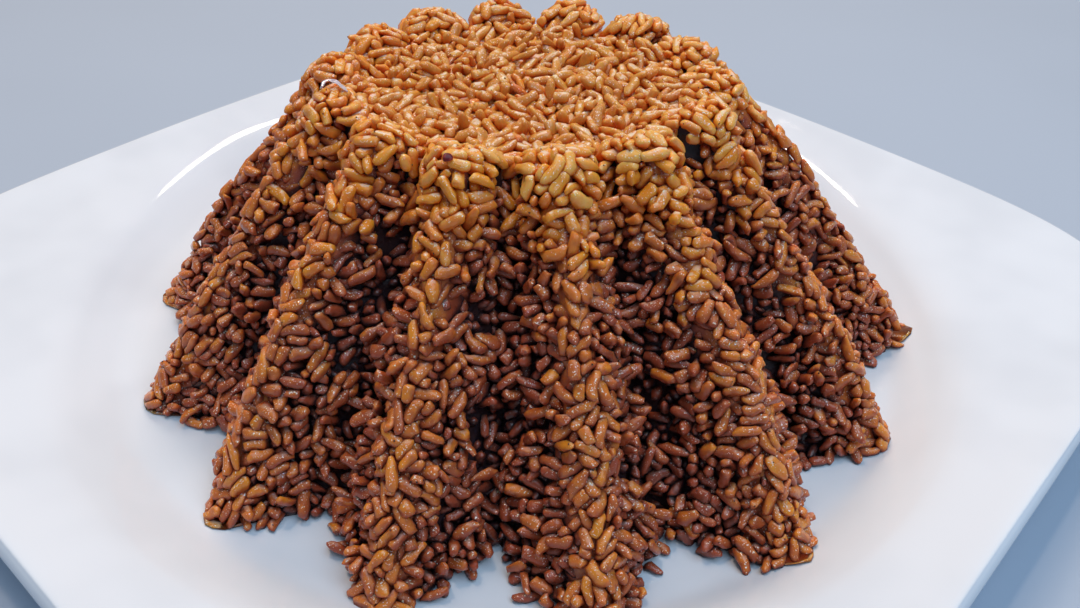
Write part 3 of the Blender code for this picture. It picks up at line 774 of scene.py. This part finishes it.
def mould_skin(points):
    """Depth of points under the mould's print, and the square direction out of the print there."""
    x, y, z = points.T
    radius = np.maximum(np.hypot(x, y), 1e-5)
    azimuth = azimuth_of(points)
    turn, step = 1e-3, 1e-5  # the slopes are taken over these
    side = mould_side(azimuth, z)
    side_by_turn = (mould_side(azimuth + turn, z) - side) / turn / radius
    side_by_height = (mould_side(azimuth, z + step) - side) / step
    side_size = np.sqrt(1 + side_by_turn**2 + side_by_height**2)
    top = mould_top(azimuth, radius)
    top_by_turn = (mould_top(azimuth + turn, radius) - top) / turn / radius
    top_by_radius = (mould_top(azimuth, radius + step) - top) / step
    top_size = np.sqrt(1 + top_by_turn**2 + top_by_radius**2)
    side_depth = (side - radius) / side_size
    top_depth = np.maximum((top - z) / top_size, top - z - KNOB_RISE)
    on_top = top_depth < side_depth
    outward = np.where(
        on_top,
        np.array((-top_by_radius, -top_by_turn, np.ones_like(z))) / top_size,
        np.array((np.ones_like(z), -side_by_turn, -side_by_height)) / side_size,
    )
    cosine, sine = x / radius, y / radius
    along_x = outward[0] * cosine - outward[1] * sine
    along_y = outward[0] * sine + outward[1] * cosine
    direction = np.stack((along_x, along_y, outward[2]), axis=1)
    return np.where(on_top, top_depth, side_depth), direction, on_top


def unit(vectors):
    """The same directions, each of length 1."""
    return vectors / np.maximum(np.linalg.norm(vectors, axis=1, keepdims=True), 1e-12)


def close_pairs(points, owner, reach):
    """Every pair of points of two owners closer than reach, found through a grid of cells."""
    cell = np.floor(points / reach).astype(np.int64)
    cell -= cell.min(axis=0) - 1
    span = cell.max(axis=0) + 2
    key = (cell[:, 0] * span[1] + cell[:, 1]) * span[2] + cell[:, 2]
    order = np.argsort(key, kind="stable")
    key_sorted = key[order]
    firsts, seconds = [], []
    for dx in (-1, 0, 1):
        for dy in (-1, 0, 1):
            for dz in (-1, 0, 1):
                shift = (dx * span[1] + dy) * span[2] + dz
                if shift < 0:
                    continue
                start = np.searchsorted(key_sorted, key + shift, "left")
                count = np.searchsorted(key_sorted, key + shift, "right") - start
                for rank in range(count.max()):
                    first = np.nonzero(count > rank)[0]
                    second = order[start[first] + rank]
                    keep = owner[first] != owner[second]
                    if shift == 0:
                        keep &= first < second
                    first, second = first[keep], second[keep]
                    near = ((points[first] - points[second]) ** 2).sum(axis=1) < reach * reach
                    firsts.append(first[near])
                    seconds.append(second[near])
    return np.concatenate(firsts), np.concatenate(seconds)


def torn_share(points, on_top):
    """1 on the flanks and in the grooves, where the rice tore off the mould, and 0 if pressed."""
    flank = ramp(from_crest(azimuth_of(points)) - FLANK_FROM, FLANK_FULL - FLANK_FROM)
    radius = np.hypot(points[:, 0], points[:, 1])
    disc = TOP_TORN * ramp(TOP_RADIUS + TOP_EDGE - radius, TOP_EDGE)
    return np.where(on_top, disc, flank)


def lengths_of(kind):
    """The length of each grain's kind."""
    return np.array([facts[1] for facts in GRAIN_KINDS.values()])[kind]


def strewn_grains(rng):
    """Grains at random places in their layer, pointing at random, before the press settles them."""
    shares = np.array([facts[0] for facts in GRAIN_KINDS.values()])
    run_volume = math.pi * BALL_RADIUS**2 * (GRAIN_LENGTH - GRAIN_WIDTH)
    grain_volume = run_volume + 4 / 3 * math.pi * BALL_RADIUS**3
    half, low = CREST_LOW + STREWN_PAST, CORE_FROM * SIDE_HEIGHT
    tall = TOP_Z + KNOB_RISE - low
    tries = int(CROWDING * (2 * half) ** 2 * tall / grain_volume)
    steps = EVEN_RATIO ** -np.arange(1.0, 4.0)
    even = (0.5 + np.arange(tries)[:, None] * steps) % 1.0
    place = (even - (0.5, 0.5, 0.0)) * (2 * half, 2 * half, tall) + (0.0, 0.0, low)
    depth, _, on_top = mould_skin(place)
    cover = cover_at(azimuth_of(place), on_top * 1.0)
    shallowest = BALL_RADIUS * NEAREST - LOOSENESS * torn_share(place, on_top)
    over_plate = above_plate(rice_place(place)) > BALL_RADIUS * NEAREST
    inside = (depth > shallowest) & (depth < cover) & over_plate
    place, on_top = place[inside], on_top[inside]
    azimuth = azimuth_of(place)
    lean_x, lean_y = -np.cos(azimuth) * CREST_LEAN, -np.sin(azimuth) * CREST_LEAN
    ridge = np.stack((lean_x, lean_y, np.ones(len(place))), axis=1)
    at_crest = (from_crest(azimuth) < CREST_SHARE) & ~on_top
    along = rng.normal(size=place.shape) + unit(ridge) * (CREST_ORDER * at_crest)[:, None]
    along = unit(along)
    kind = rng.choice(len(shares), len(place), p=shares / shares.sum())
    return place, along, kind


def settle(place, along, kind, rng):
    """Pushes overlapping grains apart and presses them against the mould, as the packing did."""
    half_run = (lengths_of(kind) / 2 - GRAIN_WIDTH / 2)[:, None]
    offsets = np.linspace(-1, 1, BALLS)[None, :] * half_run
    lever = (offsets**2).sum(axis=1)[:, None]
    stand = rng.normal(0.0, STAND_OUT, len(place))
    owner = np.repeat(np.arange(len(place)), BALLS)
    wall_gap = (BALL_RADIUS - np.clip(stand, -STAND_OUT_MOST, STAND_OUT_MOST))[owner]
    reach = 2 * BALL_RADIUS
    for step in range(SETTLING_STEPS):
        balls = (place[:, None, :] + along[:, None, :] * offsets[:, :, None]).reshape(-1, 3)
        if step % LIST_EVERY == 0:
            first, second = close_pairs(balls, owner, reach + LIST_SLACK)
        apart = balls[first] - balls[second]
        distance = np.maximum(np.linalg.norm(apart, axis=1), 1e-7)
        overlap = np.maximum(0.0, reach - distance) / 2
        push = apart * (overlap / distance * SOFTNESS * 2)[:, None]
        gained = [np.bincount(first, push[:, axis], len(balls)) for axis in range(3)]
        lost = [np.bincount(second, push[:, axis], len(balls)) for axis in range(3)]
        move = np.stack(gained, axis=1) - np.stack(lost, axis=1)
        depth, outward, on_top = mould_skin(balls)
        cover = cover_at(azimuth_of(balls), on_top * 1.0)
        too_deep = np.maximum(0.0, depth - cover).reshape(-1, BALLS).mean(axis=1)
        torn = torn_share(balls, on_top)
        move += outward * (PRESS_DRIFT * (1 - torn) + too_deep[owner] * PUSH_BACK)[:, None]
        move -= outward * np.maximum(0.0, wall_gap - LOOSENESS * torn - depth)[:, None]
        move[:, 2] += np.maximum(0.0, BALL_RADIUS * PLATE_GAP - above_plate(rice_place(balls)))
        move = move.reshape(-1, BALLS, 3)
        place = place + move.mean(axis=1)
        turn = np.cross(along[:, None, :] * offsets[:, :, None], move).sum(axis=1) / lever
        along = unit(along + np.cross(turn, along))
    return place, along


def out_of_sight(place, along, kind):
    """True for grains that lie wholly behind the pressed outer ones, where nothing came away."""
    reach = along * (lengths_of(kind) / 2 - GRAIN_WIDTH / 2)[:, None]
    depth = np.minimum(mould_skin(place + reach)[0], mould_skin(place - reach)[0])
    on_top = mould_skin(place)[2]
    on_disc = on_top & (np.hypot(place[:, 0], place[:, 1]) < TOP_RADIUS)
    groove = HIDDEN_IN_GROOVE * (from_crest(azimuth_of(place)) * (1 - on_disc))
    torn = HIDDEN_WHERE_TORN * torn_share(place, on_top)
    return depth > HIDDEN_DEPTH * (1 + np.maximum(groove, torn))


def pocket_list(rng):
    """The pockets that show, and others like them in the grooves at the back."""
    pockets = list(HOLLOWS_MM)
    for groove in HIDDEN_GROOVES:
        for height in POCKET_HEIGHTS_MM:
            if rng.uniform() < POCKET_CHANCE:
                height_there = height + rng.uniform(*POCKET_STRAY_MM)
                reach = rng.uniform(*POCKET_REACH_MM)
                pockets.append((groove, height_there, reach, rng.uniform(*POCKET_DEPTH_MM)))
    return pockets


def came_away(place, rng):
    """True for the grains that the mould took with it: whole pockets, and single ones in grooves."""
    depth, _, on_top = mould_skin(place)
    gone = np.zeros(len(place), bool)
    for groove, height, reach, deep in pocket_list(rng):
        turn = FLUTE_AZIMUTH + (groove + 0.5) * 2 * math.pi / FLUTES
        height, reach, deep = height / 1000, reach / 1000, deep / 1000
        radius = mould_side(np.array([turn]), np.array([height]))[0]
        away = place - np.array((radius * math.cos(turn), radius * math.sin(turn), height))
        out = unit(np.array([(math.cos(turn), math.sin(turn), POCKET_TILT)]))
        inward = -(away * out).sum(axis=1)
        aside = np.sqrt(np.maximum(0.0, (away**2).sum(axis=1) - inward**2))
        gone |= (aside / reach) ** 2 + (np.maximum(0.0, inward) / deep) ** 2 < 1
    torn = torn_share(place, on_top)
    torn_off = (torn > 0) & (depth < TORN_DEPTH + rng.normal(0.0, TORN_SPREAD, len(place)))
    waves = unit(rng.normal(size=(CLUMP_WAVES, 3))) / CLUMP_SIZE
    phases = rng.uniform(0, 2 * math.pi, CLUMP_WAVES)
    field = np.sin(place @ waves.T + phases).sum(axis=1) / math.sqrt(CLUMP_WAVES / 2)
    bite = LOOSE_DEPTH * np.clip(field - LOOSE_LEVEL + LOOSE_RISE, 0.0, LOOSE_MOST)
    bite = bite * np.clip(LOOSE_ON_CREST + from_crest(azimuth_of(place)), 0.0, 1.0)
    loose = (field * torn > LOOSE_LEVEL) & (depth < bite) & ~on_top
    return gone | torn_off | loose


def grain_tree():
    """Puts one grain, shaped by its sizes, on every point, then dents each one differently."""
    sizes = [
        ("Length", "Float"), ("Width", "Float"), ("Thickness", "Float"), ("Bluntness", "Float"),
        ("Bend", "Float"), ("Taper", "Float"), ("Crease", "Float"), ("Dents", "Float"),
        ("Segments", "Int"), ("Rings", "Int"), ("Rice", "Material"),
    ]
    tree, given, made = new_growth("grains_of_rice", sizes)
    facets = {"Segments": given["Segments"], "Rings": given["Rings"]}
    ball = add_node(tree, "GeometryNodeMeshUVSphere", {**facets, "Radius": 1.0}).outputs["Mesh"]
    place = add_node(tree, "GeometryNodeInputPosition").outputs[0]
    at = add_node(tree, "ShaderNodeSeparateXYZ", {0: place}).outputs

    def blunt(value):
        power = math_node(tree, "POWER", math_node(tree, "ABSOLUTE", value), given["Bluntness"])
        return math_node(tree, "MULTIPLY", power, math_node(tree, "SIGN", value))

    run = blunt(at["Z"])
    girth_squared = math_node(tree, "SUBTRACT", 1.0, math_node(tree, "MULTIPLY", at["Z"], at["Z"]))
    girth = math_node(tree, "SQRT", math_node(tree, "MAXIMUM", girth_squared, 1e-9))
    fuller = math_node(tree, "DIVIDE", blunt(girth), girth)
    taper = math_node(tree, "MULTIPLY_ADD", math_node(tree, "MULTIPLY", run, given["Taper"]), -1.0, 1.0)
    swelled = math_node(tree, "MULTIPLY", fuller, taper)
    on_face = math_node(tree, "GREATER_THAN", at["X"], CREASE_FROM)
    crease = math_node(tree, "MULTIPLY", on_face, given["Crease"])
    face = math_node(tree, "MULTIPLY", at["X"], math_node(tree, "SUBTRACT", 1.0, crease))
    thick = math_node(tree, "MULTIPLY", math_node(tree, "MULTIPLY", face, swelled), given["Thickness"])
    wide = math_node(tree, "MULTIPLY", math_node(tree, "MULTIPLY", at["Y"], swelled), given["Width"])
    bow = math_node(tree, "MULTIPLY", math_node(tree, "MULTIPLY", run, run), given["Bend"])
    grain_point = {
        "X": math_node(tree, "MULTIPLY", thick, 0.5),
        "Y": math_node(tree, "MULTIPLY_ADD", wide, 0.5, bow),
        "Z": math_node(tree, "MULTIPLY", math_node(tree, "MULTIPLY", run, given["Length"]), 0.5),
    }
    grain_place = add_node(tree, "ShaderNodeCombineXYZ", grain_point).outputs[0]
    shaped = add_node(tree, "GeometryNodeSetPosition", {"Geometry": ball, "Position": grain_place})

    def read(name):
        kind = "GeometryNodeInputNamedAttribute"
        return add_node(tree, kind, {"Name": name}, data_type="FLOAT_VECTOR").outputs[0]

    axes = {"primary_axis": "Z", "secondary_axis": "X"}
    lie = {0: read("along"), 1: read("facing")}
    instances = {
        "Points": given["Geometry"],
        "Instance": shaped.outputs[0],
        "Rotation": add_node(tree, "FunctionNodeAxesToRotation", lie, **axes).outputs[0],
        "Scale": read("size"),
    }
    strewn = add_node(tree, "GeometryNodeInstanceOnPoints", instances).outputs[0]
    real = add_node(tree, "GeometryNodeRealizeInstances", {"Geometry": strewn}).outputs[0]
    lumps = add_node(tree, "ShaderNodeTexNoise", {"Scale": DENTS_PER_METRE, "Detail": 1.0})
    centred = {0: lumps.outputs["Color"], 1: (0.5, 0.5, 0.5)}
    dent = add_node(tree, "ShaderNodeVectorMath", centred, operation="SUBTRACT").outputs[0]
    sized = {0: dent, "Scale": given["Dents"]}
    offset = add_node(tree, "ShaderNodeVectorMath", sized, operation="SCALE").outputs[0]
    dented = add_node(tree, "GeometryNodeSetPosition", {"Geometry": real, "Offset": offset})
    end_growth(tree, dented.outputs[0], given["Rice"], made)
    return tree


def point_mesh(name, points, attributes):
    """Loose points, with a number or a direction each for every named attribute."""
    mesh = bpy.data.meshes.new(name)
    mesh.from_pydata(points.tolist(), [], [])
    for label, values in attributes.items():
        label_points(mesh, label, values)
    return mesh


grain_rng = np.random.default_rng(GRAIN_SEED)
grain_place, grain_along, grain_kind = strewn_grains(grain_rng)
grain_place, grain_along = settle(grain_place, grain_along, grain_kind, grain_rng)
kept = ~came_away(grain_place, grain_rng) & ~out_of_sight(grain_place, grain_along, grain_kind)
grain_place, grain_along, grain_kind = grain_place[kept], grain_along[kept], grain_kind[kept]
grain_depth, grain_outward, grain_on_top = mould_skin(grain_place)
grain_radius = np.hypot(grain_place[:, 0], grain_place[:, 1])
grain_height = grain_place[:, 2]
grain_groove = from_crest(azimuth_of(grain_place)) * (1 - grain_on_top)
grain_facing = unit(grain_outward + grain_rng.normal(0, FACING_SPREAD, grain_place.shape))
grain_size = np.clip(grain_rng.normal(1.0, SIZE_SPREAD, grain_place.shape), *SIZE_LIMITS)
grain_patch = np.sin(grain_place @ PATCH_WAVES[0]) * np.sin(grain_place @ PATCH_WAVES[1] + 1.0)
grain_round = grain_place[:, :2] / grain_radius[:, None]
# painted light and shade on the knobs, by the side they face
grain_side_shading = PAINTED_LIGHT_BY * ramp(grain_round @ PAINTED_LIGHT_SIDE, 1) - PAINTED_SHADE_BY * ramp(grain_round @ PAINTED_SHADE_SIDE, 1)
grain_knob = ramp(grain_height - KNOB_FADE[0], KNOB_FADE[1]) * (grain_radius > TOP_RADIUS)
grain_tone = (
    GRAIN_TONE
    + TOP_PALER * grain_on_top
    # painted light on the knobs
    + (KNOB_PAINTED_LIGHT + grain_side_shading) * grain_knob
    # partly own colour, partly painted shade in the grooves
    - GROOVE_DARKER * ramp(grain_groove - GROOVE_FADE[0], GROOVE_FADE[1])
    # painted shade: deeper grains darker
    - INSIDE_SHADE * ramp(grain_depth - INSIDE_FADE[0], INSIDE_FADE[1])
    - FOOT_DARKER * (1 - grain_on_top) * ramp(FOOT_FADE[0] - grain_height, FOOT_FADE[1])
    + PATCH_TONE * grain_patch
    + grain_rng.normal(0, TONE_SPREAD, len(grain_place))
)
grain_disc = grain_on_top * ramp(TOP_RADIUS + DISC_FADE[0] - grain_radius, DISC_FADE[1])
grain_growth = grain_tree()
grain_skins = []
grain_kind[grain_depth > DEEP] = len(GRAIN_KINDS)
shown_kinds = {**GRAIN_KINDS, "deep": GRAIN_KINDS["plump"]}
for index, (kind_name, kind_sizes) in enumerate(shown_kinds.items()):
    mine = grain_kind == index
    seeds = point_mesh(
        kind_name,
        rice_place(grain_place[mine]),
        {
            "along": leaning(grain_along[mine]),
            "facing": leaning(grain_facing[mine]),
            "size": grain_size[mine],
            "tone": grain_tone[mine],
            "disc": grain_disc[mine],
        },
    )
    labels = ("Length", "Width", "Thickness", "Bluntness", "Bend", "Taper", "Crease")
    values = dict(zip(labels, kind_sizes[1:]), Dents=GRAIN_DENTS, Rice=grain_finish)
    values["Segments"], values["Rings"] = DEEP_SHAPE if kind_name == "deep" else NEAR_SHAPE
    grains = grown("grains_" + kind_name, seeds, grain_growth, values)
    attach(grains, "root")
    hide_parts("rice")
    if kind_name != "deep":
        grain_skins.append(grains.data)

# ------------------------------------------------------------------------------- ground spice
# Specks of ground black pepper and allspice, each well under 1 mm. They were boiled with the rice,
# and stick to the oily faces of the outer grains.

SPECK_COUNT = 520
SPECK_SEED = 31
SPECK_SPREAD = (0.6, 1.3)
SPECK_DEPTH = 0.0012  # they show on grains nearer the print than this
SPECK_SIZES = {
    "Length": 0.00046, "Width": 0.00036, "Thickness": 0.00022, "Bluntness": 0.6, "Bend": 0.0,
    "Taper": 0.2, "Crease": 0.1, "Dents": 0.00012, "Segments": 5, "Rings": 4,
}
SPECK_BROWN = (0.030, 0.012, 0.008)
SPECK_RED = (0.150, 0.030, 0.012)
SPECK_SHOWS = 0.5  # on faces whose outward share is above this


def spice_finish():
    """Dry ground spice, brown to reddish from speck to speck."""
    material, tree, shader, place = new_finish("ground_spice")
    kind = spread(tree, noise(tree, place, 300.0), 0.45, 0.60)
    colour = blend_colours(tree, kind, SPECK_BROWN, SPECK_RED)
    plug_in(tree, shader, {"Base Color": colour, "Roughness": 0.35})
    return material


def skin_points():
    """Every point of the outer grains, along the mould's axes, and the direction it looks in."""
    places, normals = [], []
    for mesh in grain_skins:
        flat = np.empty(len(mesh.vertices) * 3)
        mesh.vertices.foreach_get("co", flat)
        places.append(flat.reshape(-1, 3) - (RICE_X, RICE_Y, WELL_Z - RICE_SINK))
        flat = np.empty(len(mesh.vertices) * 3)
        mesh.vertex_normals.foreach_get("vector", flat)
        normals.append(flat.reshape(-1, 3))
    return np.vstack(places) @ np.array(LEANING), np.vstack(normals) @ np.array(LEANING)


skin_place, skin_normal = skin_points()
skin_depth, skin_outward, _ = mould_skin(skin_place)
outer = (skin_depth < SPECK_DEPTH) & ((skin_normal * skin_outward).sum(axis=1) > SPECK_SHOWS)
speck_rng = np.random.default_rng(SPECK_SEED)
chosen = speck_rng.choice(np.nonzero(outer)[0], SPECK_COUNT, replace=False)
speck_axes = np.cross(skin_normal[chosen], speck_rng.normal(size=(SPECK_COUNT, 3)))
speck_points = point_mesh(
    "specks",
    rice_place(skin_place[chosen]),
    {
        "along": leaning(unit(speck_axes)),
        "facing": leaning(skin_normal[chosen]),
        "size": speck_rng.uniform(*SPECK_SPREAD, (SPECK_COUNT, 3)),
    },
)
specks = grown("spice_specks", speck_points, grain_growth, {**SPECK_SIZES, "Rice": spice_finish()})
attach(specks, "root")
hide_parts("rice")

# ---------------------------------------------------------------------------------- red crumb
# One crumb of a dried red pepper's skin, about 2 mm across and wet with oil. It sits on a knob at
# the front left, where it stuck when the rice was pressed.

CRUMB_AT = (-0.0487, -0.0233, 0.0811)  # from the middle of the mould's rim
CRUMB_FACING = (-0.49, -0.60, 0.63)
CRUMB_ALONG = (0.75, -0.66, 0.0)
CRUMB_SIZES = {
    "Length": 0.0021, "Width": 0.0018, "Thickness": 0.0011, "Bluntness": 0.75, "Bend": 0.0002,
    "Taper": 0.15, "Crease": 0.25, "Dents": 0.0005, "Segments": 14, "Rings": 10,
}
CRUMB_RED = (0.150, 0.007, 0.010)
CRUMB_EDGE = (0.330, 0.035, 0.030)


def crumb_finish():
    """Deep red pepper skin with lighter patches."""
    material, tree, shader, place = new_finish("red_pepper_skin")
    patch = spread(tree, noise(tree, place, 900.0), 0.50, 0.68)
    colour = blend_colours(tree, patch, CRUMB_RED, CRUMB_EDGE)
    plug_in(tree, shader, {"Base Color": colour, "Roughness": 0.30, "Specular IOR Level": 0.3})
    return material


crumb_points = point_mesh(
    "crumb",
    rice_place(np.array([CRUMB_AT])),
    {
        "along": leaning(unit(np.array([CRUMB_ALONG]))),
        "facing": leaning(unit(np.array([CRUMB_FACING]))),
        "size": np.ones((1, 3)),
    },
)
crumb = grown("red_crumb", crumb_points, grain_growth, {**CRUMB_SIZES, "Rice": crumb_finish()})
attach(crumb, "root")
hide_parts("rice")

# --------------------------------------------------------------------------------- onion skin
# A shred of fried onion's thin inner skin, about 9 mm long, lies over a knob at the back left. It
# is a clear whitish film that curls up along both edges.

SKIN_PATH_MM = (
    (-45.3, 24.9, 80.9), (-44.7, 24.7, 81.6), (-43.4, 25.5, 82.0), (-42.2, 25.2, 82.1),
    (-41.8, 23.4, 82.1), (-42.1, 21.3, 82.0), (-42.5, 19.4, 81.9), (-42.9, 17.5, 81.7),
)
SKIN_WIDTH = 0.0013
SKIN_THICK = 0.00012
SKIN_CURL = 0.0003
SKIN_ACROSS = 7
SKIN_STEPS = 6
SKIN_LIES = (-0.2, -0.2, 0.4)  # turns its upper face away from square to the print
SKIN_END = 0.04  # the square of its ends' width, as a share of its full width
SKIN_RAGS = 23  # radians along its length, of its ragged edge
SKIN_RAGGED = 0.18
SKIN_COLOUR = (0.690, 0.590, 0.660)
SKIN_DARKER = 0.8  # along its streaks


def onion_skin_mesh():
    """A closed ribbon along the path: a curled upper face, and the same face below it."""
    path = through(np.array(SKIN_PATH_MM) / 1000, SKIN_STEPS)
    ahead = unit(np.gradient(path, axis=0))
    up = unit(mould_skin(path)[1] + SKIN_LIES)
    side = unit(np.cross(ahead, up))
    up = np.cross(side, ahead)
    share = np.linspace(0, 1, len(path))
    ragged = 1 + SKIN_RAGGED * np.sin(SKIN_RAGS * share + 1)
    narrow = np.sqrt(np.clip(4 * share * (1 - share), SKIN_END, 1.0)) * ragged
    across = np.linspace(-1, 1, SKIN_ACROSS)
    rings = []
    for lift, order in ((SKIN_THICK / 2, across), (-SKIN_THICK / 2, across[::-1])):
        for step in order:
            reach = side * (step * narrow * SKIN_WIDTH / 2)[:, None]
            rings.append(path + reach + up * (lift + SKIN_CURL * (step * step - 0.5)))
    points = np.stack(rings, axis=1)
    around = points.shape[1]
    last = (len(path) - 1) * around
    faces = [tuple(range(around)), tuple(reversed(range(last, last + around)))]
    for here in range(0, last, around):
        beyond = here + around
        for i in range(around):
            j = (i + 1) % around
            faces.append((here + j, here + i, beyond + i, beyond + j))
    mesh = bpy.data.meshes.new("onion_skin")
    mesh.from_pydata(rice_place(points.reshape(-1, 3)).tolist(), [], faces)
    mesh.shade_smooth()
    return mesh


def onion_skin_finish():
    """A clear whitish film, glossy with oil and slightly streaked."""
    material, tree, shader, place = new_finish("fried_onion_skin")
    streak = spread(tree, noise(tree, place, 700.0), 0.35, 0.65)
    darker = tuple(SKIN_DARKER * channel for channel in SKIN_COLOUR)
    looks = {
        "Base Color": blend_colours(tree, streak, darker, SKIN_COLOUR),
        "Roughness": 0.18,
        "Transmission Weight": 0.35,
        "Subsurface Weight": 0.3,
        "Subsurface Scale": 0.0005,
    }
    plug_in(tree, shader, looks)
    return material


onion_skin = bpy.data.objects.new("onion_skin", onion_skin_mesh())
onion_skin.data.materials.append(onion_skin_finish())
bpy.context.scene.collection.objects.link(onion_skin)
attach(onion_skin, "root")
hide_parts("rice")

# ------------------------------------------------------------------- table, light and camera
# The table is a plain pale board. Soft light falls on the food from behind and above, with a cool
# sky from all round, and the camera stands where the photograph was taken.

TABLE_HALF = 1.6
TABLE_COLOUR = (0.445, 0.50, 0.595)
TABLE_DARKER = 0.97  # in its faint clouds
CAMERA_TURN = math.radians(-46.87)  # from the frame to the view's own axes
CAMERA_DISTANCE = 0.298417
CAMERA_ELEVATION = math.radians(36.531)
CAMERA_PAN = math.radians(1.105)
CAMERA_TILT = math.radians(0.945)
CAMERA_ROLL = math.radians(0.72)
CAMERA_FOCUS_PX = 987.603
PHOTO_WIDTH_PX = 1080
SENSOR_WIDTH_MM = 36.0
WORLD_COLOUR = (0.56, 0.77, 1.00)
WORLD_STRENGTH = 0.27
# name, place as (right, forward, up) seen from the camera, width and height, power, colour, mirrored
LIGHTS = (
    ("back_window", (0.00, 0.95, 1.15), (1.10, 0.40), 10.5, (1.0, 0.78, 0.58), False),
    ("back_lamp", (0.00, 0.95, 1.25), (0.30, 0.07), 1.6, (1.0, 0.86, 0.72), True),
    ("ceiling_light", (-0.30, 0.35, 1.35), (0.60, 0.60), 3.0, (1.0, 0.76, 0.54), True),
    ("ceiling_bulb", (-0.20, 0.10, 1.40), (0.10, 0.10), 2.5, (1.0, 0.80, 0.62), True),
    ("blue_window", (0.45, -0.50, 1.35), (1.30, 1.30), 13.0, (0.56, 0.78, 1.0), True),
)


def seen_from_camera(right, forward, up):
    """A place given along the camera's own directions, as a place in the frame."""
    turn = Matrix.Rotation(CAMERA_TURN, 3, "Z")
    return turn @ Vector((right, forward, up))


def add_camera():
    """The camera, aimed along the mound's own axes, which lean."""
    camera = bpy.data.objects.new("camera", bpy.data.cameras.new("camera"))
    camera.data.lens = CAMERA_FOCUS_PX / PHOTO_WIDTH_PX * SENSOR_WIDTH_MM
    camera.data.sensor_width = SENSOR_WIDTH_MM
    camera.data.clip_start = 0.01
    camera.data.clip_end = 20.0
    pitch = CAMERA_TILT - CAMERA_ELEVATION
    level_run = math.cos(pitch)
    aside, ahead = math.sin(CAMERA_PAN) * level_run, math.cos(CAMERA_PAN) * level_run
    forward = Vector((aside, ahead, math.sin(pitch)))
    level = forward.cross(Vector((0, 0, 1))).normalized()
    upright = level.cross(forward)
    right = level * math.cos(CAMERA_ROLL) + upright * math.sin(CAMERA_ROLL)
    up = right.cross(forward)
    axes = Matrix((right, up, -forward)).transposed()
    axes = LEANING @ Matrix.Rotation(CAMERA_TURN, 3, "Z") @ axes
    back = CAMERA_DISTANCE * math.cos(CAMERA_ELEVATION)
    place = LEANING @ seen_from_camera(0, -back, CAMERA_DISTANCE * math.sin(CAMERA_ELEVATION))
    place += Vector((RICE_X, RICE_Y, WELL_Z - RICE_SINK))
    camera.matrix_world = Matrix.Translation(place) @ axes.to_4x4()
    bpy.context.scene.collection.objects.link(camera)
    bpy.context.scene.camera = camera


def add_light(name, place, size, power, colour, mirrored):
    """A soft area light that faces the origin, and that shows in glossy surfaces where mirrored."""
    light = bpy.data.lights.new(name, "AREA")
    light.shape = "ELLIPSE" if size[0] == size[1] else "RECTANGLE"
    light.size, light.size_y = size
    light.energy = power
    light.color = colour
    lamp = bpy.data.objects.new(name, light)
    lamp.location = seen_from_camera(*place)
    lamp.visible_glossy = mirrored
    aim = lamp.location.normalized()
    level = Vector((0, 0, 1)).cross(aim).normalized()
    lamp.rotation_mode = "QUATERNION"
    lamp.rotation_quaternion = Matrix((level, aim.cross(level), aim)).transposed().to_quaternion()
    bpy.context.scene.collection.objects.link(lamp)


def table_board():
    """A plain satin board with faint clouds."""
    material, tree, shader, place = new_finish("table_board")
    cloud = spread(tree, noise(tree, place, 6.0), 0.3, 0.7)
    darker = tuple(channel * TABLE_DARKER for channel in TABLE_COLOUR)
    colour = blend_colours(tree, cloud, darker, TABLE_COLOUR)
    plug_in(tree, shader, {"Base Color": colour, "Roughness": 0.45})
    return material


def add_table():
    mesh = bpy.data.meshes.new("table")
    corners = [(x * TABLE_HALF, y * TABLE_HALF, 0) for x, y in ((-1, -1), (1, -1), (1, 1), (-1, 1))]
    mesh.from_pydata(corners, [], [(0, 1, 2, 3)])
    mesh.materials.append(table_board())
    table = bpy.data.objects.new("table", mesh)
    bpy.context.scene.collection.objects.link(table)


def add_sky():
    world = bpy.data.worlds.new("soft_sky")
    world.use_nodes = True
    sky = world.node_tree.nodes["Background"]
    sky.inputs["Color"].default_value = (*WORLD_COLOUR, 1.0)
    sky.inputs["Strength"].default_value = WORLD_STRENGTH
    bpy.context.scene.world = world


add_table()
add_sky()
for light_facts in LIGHTS:
    add_light(*light_facts)
add_camera()
bpy.context.scene.view_settings.view_transform = "Standard"
